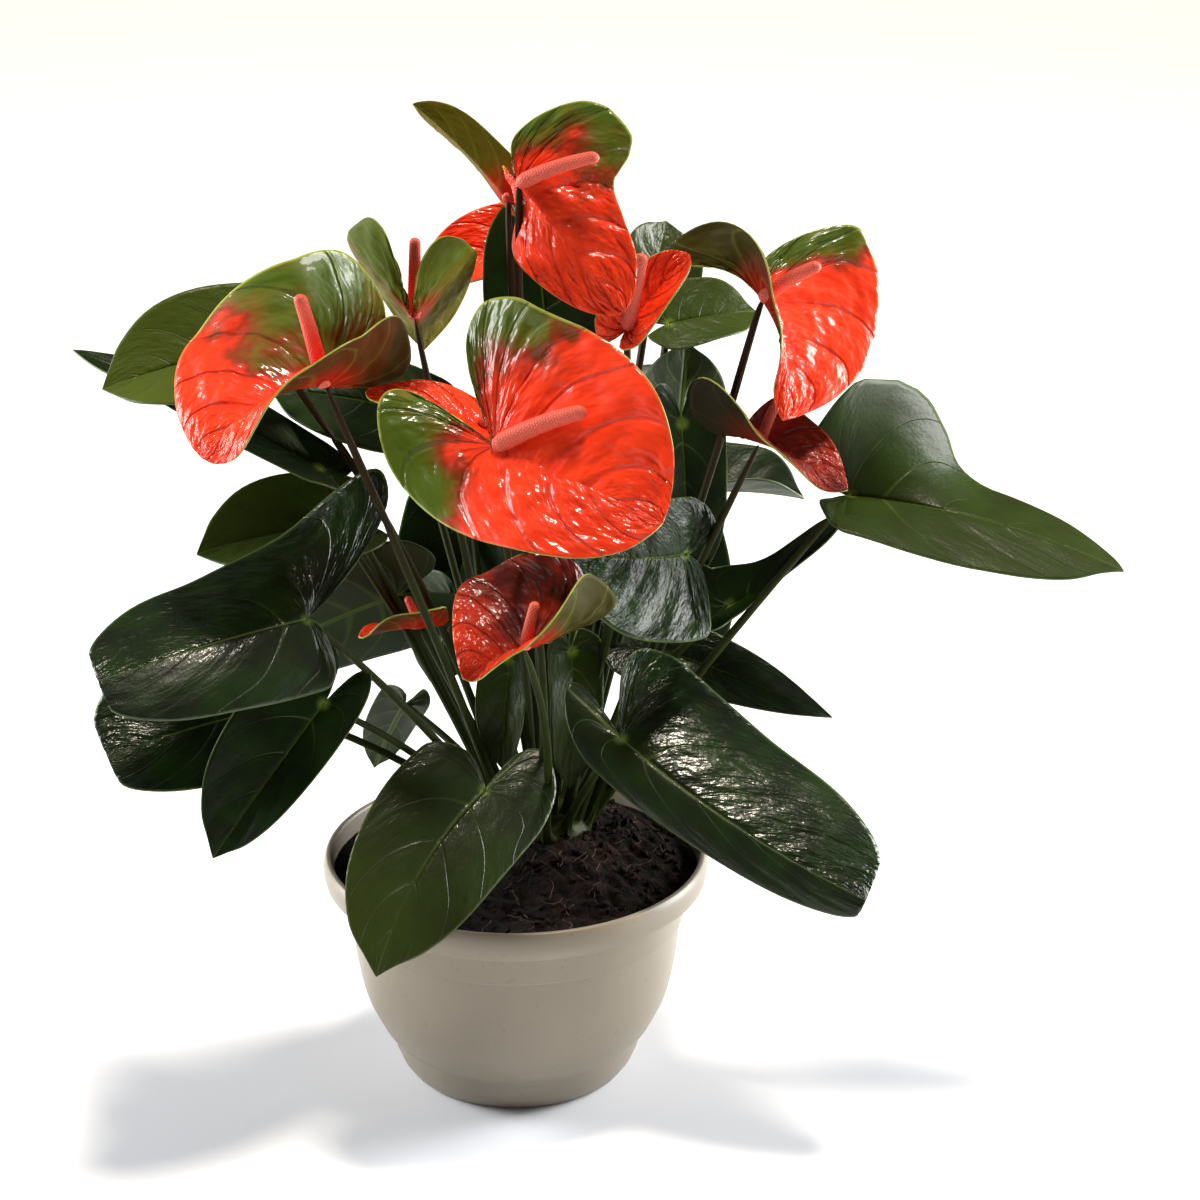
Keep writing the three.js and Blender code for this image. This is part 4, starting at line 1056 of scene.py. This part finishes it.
class FLOWER_OT_spadices(bpy.types.Operator):
    """Makes the flower spikes: tapered, bent and studded with florets in spirals"""
    bl_idname = "flamingo_flower.spadices"
    bl_label = "Spikes"

    def execute(self, context):
        flesh = spadix_flesh(context.scene.flower_colours)
        floret = context.scene.flower_sizes.floret / MM
        for row in SPATHES:
            self.spike(row, floret, flesh)
        return {"FINISHED"}

    def spike(self, row, floret, flesh):
        """One spike: a grid rolled into a tube, closed to a round tip, florets raised on it."""
        reach = np.array(row["spadix"], float)
        length = np.linalg.norm(reach)
        turns = round(2 * math.pi * row["thick"] / floret)
        rings = length / (floret * 0.87)
        sides, steps = 6 * turns, round(6 * rings)
        bm = bmesh.new()
        tint = bm.verts.layers.float.new("tint")
        made = bmesh.ops.create_grid(bm, x_segments=sides, y_segments=steps, size=0.5)["verts"]
        around = np.array([vert.co.x for vert in made]) + 0.5
        along = np.array([vert.co.y for vert in made]) + 0.5
        raised = self.florets(around * turns, along * rings)
        end = row["thick"] / length
        cap = np.sqrt(np.clip(1 - np.clip((along - 1 + end) / end, 0, 1) ** 2, 0, 1))
        foot = smoothstep(along, 0, 0.08) * 0.25 + 0.75
        radius = (row["thick"] * (1 - 0.25 * along) * foot + 0.24 * raised) * cap
        axis = reach / length
        start = np.array(row["joint"], float) + axis * 0.3
        place = start + along[:, None] * (reach - axis * 0.3)
        place[:, 2] += 0.08 * length * 2 * along * (1 - along)
        turn = axes(Vector(axis), Vector((0.2, 0.3, 1)))
        side, up = np.array(turn.col[1]), np.array(turn.col[2])
        angle = -2 * math.pi * around
        ring = np.cos(angle)[:, None] * side + np.sin(angle)[:, None] * up
        points = (place + ring * radius[:, None]) * MM
        for index, vert in enumerate(made):
            vert.co = points[index]
            vert[tint] = raised[index]
        bmesh.ops.remove_doubles(bm, verts=bm.verts, dist=1e-6)
        bmesh.ops.holes_fill(bm, edges=[edge for edge in bm.edges if edge.is_boundary])
        bmesh.ops.recalc_face_normals(bm, faces=bm.faces)
        for face in bm.faces:
            face.smooth = True
        piece = piece_from(bm, "spike_" + row["name"], [flesh])
        finish_piece(piece, "spadix_" + row["name"])

    def florets(self, around, along):
        """Height from 0 to 1 of the nearest floret, in rows that are half a step apart."""
        row = np.floor(along)
        inside = along - row - 0.5
        beside = np.mod(around + 0.5 * np.mod(row, 2), 1) - 0.5
        return np.clip(1 - (beside ** 2 + (0.9 * inside) ** 2) / 0.24, 0, 1) ** 0.6


class FLOWER_OT_stage(bpy.types.Operator):
    """Makes the pale floor, the soft lamps and the camera"""
    bl_idname = "flamingo_flower.stage"
    bl_label = "Stage"

    def execute(self, context):
        scene = context.scene
        scene.view_settings.view_transform = "Standard"
        self.floor(scene)
        self.world(scene)
        self.overhead(scene)
        self.softbox("left", (-1.3, 0.3, 0.5), (0, 0, 0.15), (0.6, 1.0), 30)
        self.softbox("right", (1.3, 0.4, 0.5), (0, 0, 0.15), (0.6, 1.0), 40)
        camera = bpy.data.objects.new("camera", bpy.data.cameras.new("camera"))
        scene.collection.objects.link(camera)
        camera.data.lens = scene.flower_sizes.focal
        camera.location = CAMERA_PLACE
        camera.rotation_euler = (math.radians(CAMERA_TILT), 0, 0)
        scene.camera = camera
        return {"FINISHED"}

    def floor(self, scene):
        """A wide plain floor."""
        material, _, _ = material_of("painted_floor_matt", {
            "Base Color": rgba(scene.flower_colours.floor), "Roughness": 0.7,
            "Specular IOR Level": 0.1})
        bm = bmesh.new()
        bmesh.ops.create_grid(bm, x_segments=4, y_segments=4, size=scene.flower_sizes.floor_size / 2)
        piece_from(bm, "floor", [material])

    def world(self, scene):
        """Even, dim light from all round."""
        scene.world = bpy.data.worlds.new("studio")
        scene.world.use_nodes = True
        light = scene.world.node_tree.nodes["Background"]
        light.inputs["Color"].default_value = rgba(linear("f3efe6"))
        light.inputs["Strength"].default_value = 0.13

    def overhead(self, scene):
        """One large lamp almost straight above, far enough to light all alike."""
        lamp = bpy.data.lights.new("overhead", "SUN")
        lamp.energy = 3.6
        lamp.color = linear("fff3e0")
        lamp.angle = math.radians(12)
        holder = bpy.data.objects.new("overhead", lamp)
        scene.collection.objects.link(holder)
        holder.rotation_euler = (math.radians(-4), math.radians(6), 0)

    def softbox(self, name, place, aim, size, power):
        """A rectangular lamp that faces its aim."""
        lamp = bpy.data.lights.new(name, "AREA")
        lamp.shape = "RECTANGLE"
        lamp.size, lamp.size_y = size
        lamp.energy = power
        holder = bpy.data.objects.new(name, lamp)
        bpy.context.scene.collection.objects.link(holder)
        holder.location = place
        holder.rotation_euler = (Vector(aim) - Vector(place)).to_track_quat("-Z", "Y").to_euler()


class FLOWER_PT_panel(bpy.types.Panel):
    """Lists the pieces and what may be changed on them"""
    bl_idname = "FLOWER_PT_panel"
    bl_label = "Flamingo flower"
    bl_space_type = "VIEW_3D"
    bl_region_type = "UI"
    bl_category = "Flamingo flower"

    def draw(self, context):
        for group in (context.scene.flower_sizes, context.scene.flower_colours):
            for key in group.__annotations__:
                self.layout.prop(group, key)
        for operator in OPERATORS:
            self.layout.operator(operator.bl_idname)


OPERATORS = (
    FLOWER_OT_pot, FLOWER_OT_soil, FLOWER_OT_stems, FLOWER_OT_leaves, FLOWER_OT_spathes,
    FLOWER_OT_spadices, FLOWER_OT_stage,
)
CLASSES = (FlowerColours, FlowerSizes, *OPERATORS, FLOWER_PT_panel)


def register():
    """Adds the classes and the two groups of values."""
    for made in CLASSES:
        bpy.utils.register_class(made)
    bpy.types.Scene.flower_colours = bpy.props.PointerProperty(type=FlowerColours)
    bpy.types.Scene.flower_sizes = bpy.props.PointerProperty(type=FlowerSizes)


def unregister():
    """Takes them away again."""
    del bpy.types.Scene.flower_sizes
    del bpy.types.Scene.flower_colours
    for made in reversed(CLASSES):
        bpy.utils.unregister_class(made)


def main():
    """Makes every piece."""
    register()
    for operator in OPERATORS:
        getattr(bpy.ops.flamingo_flower, operator.bl_idname.split(".")[1])()


if __name__ == "__main__":
    main()
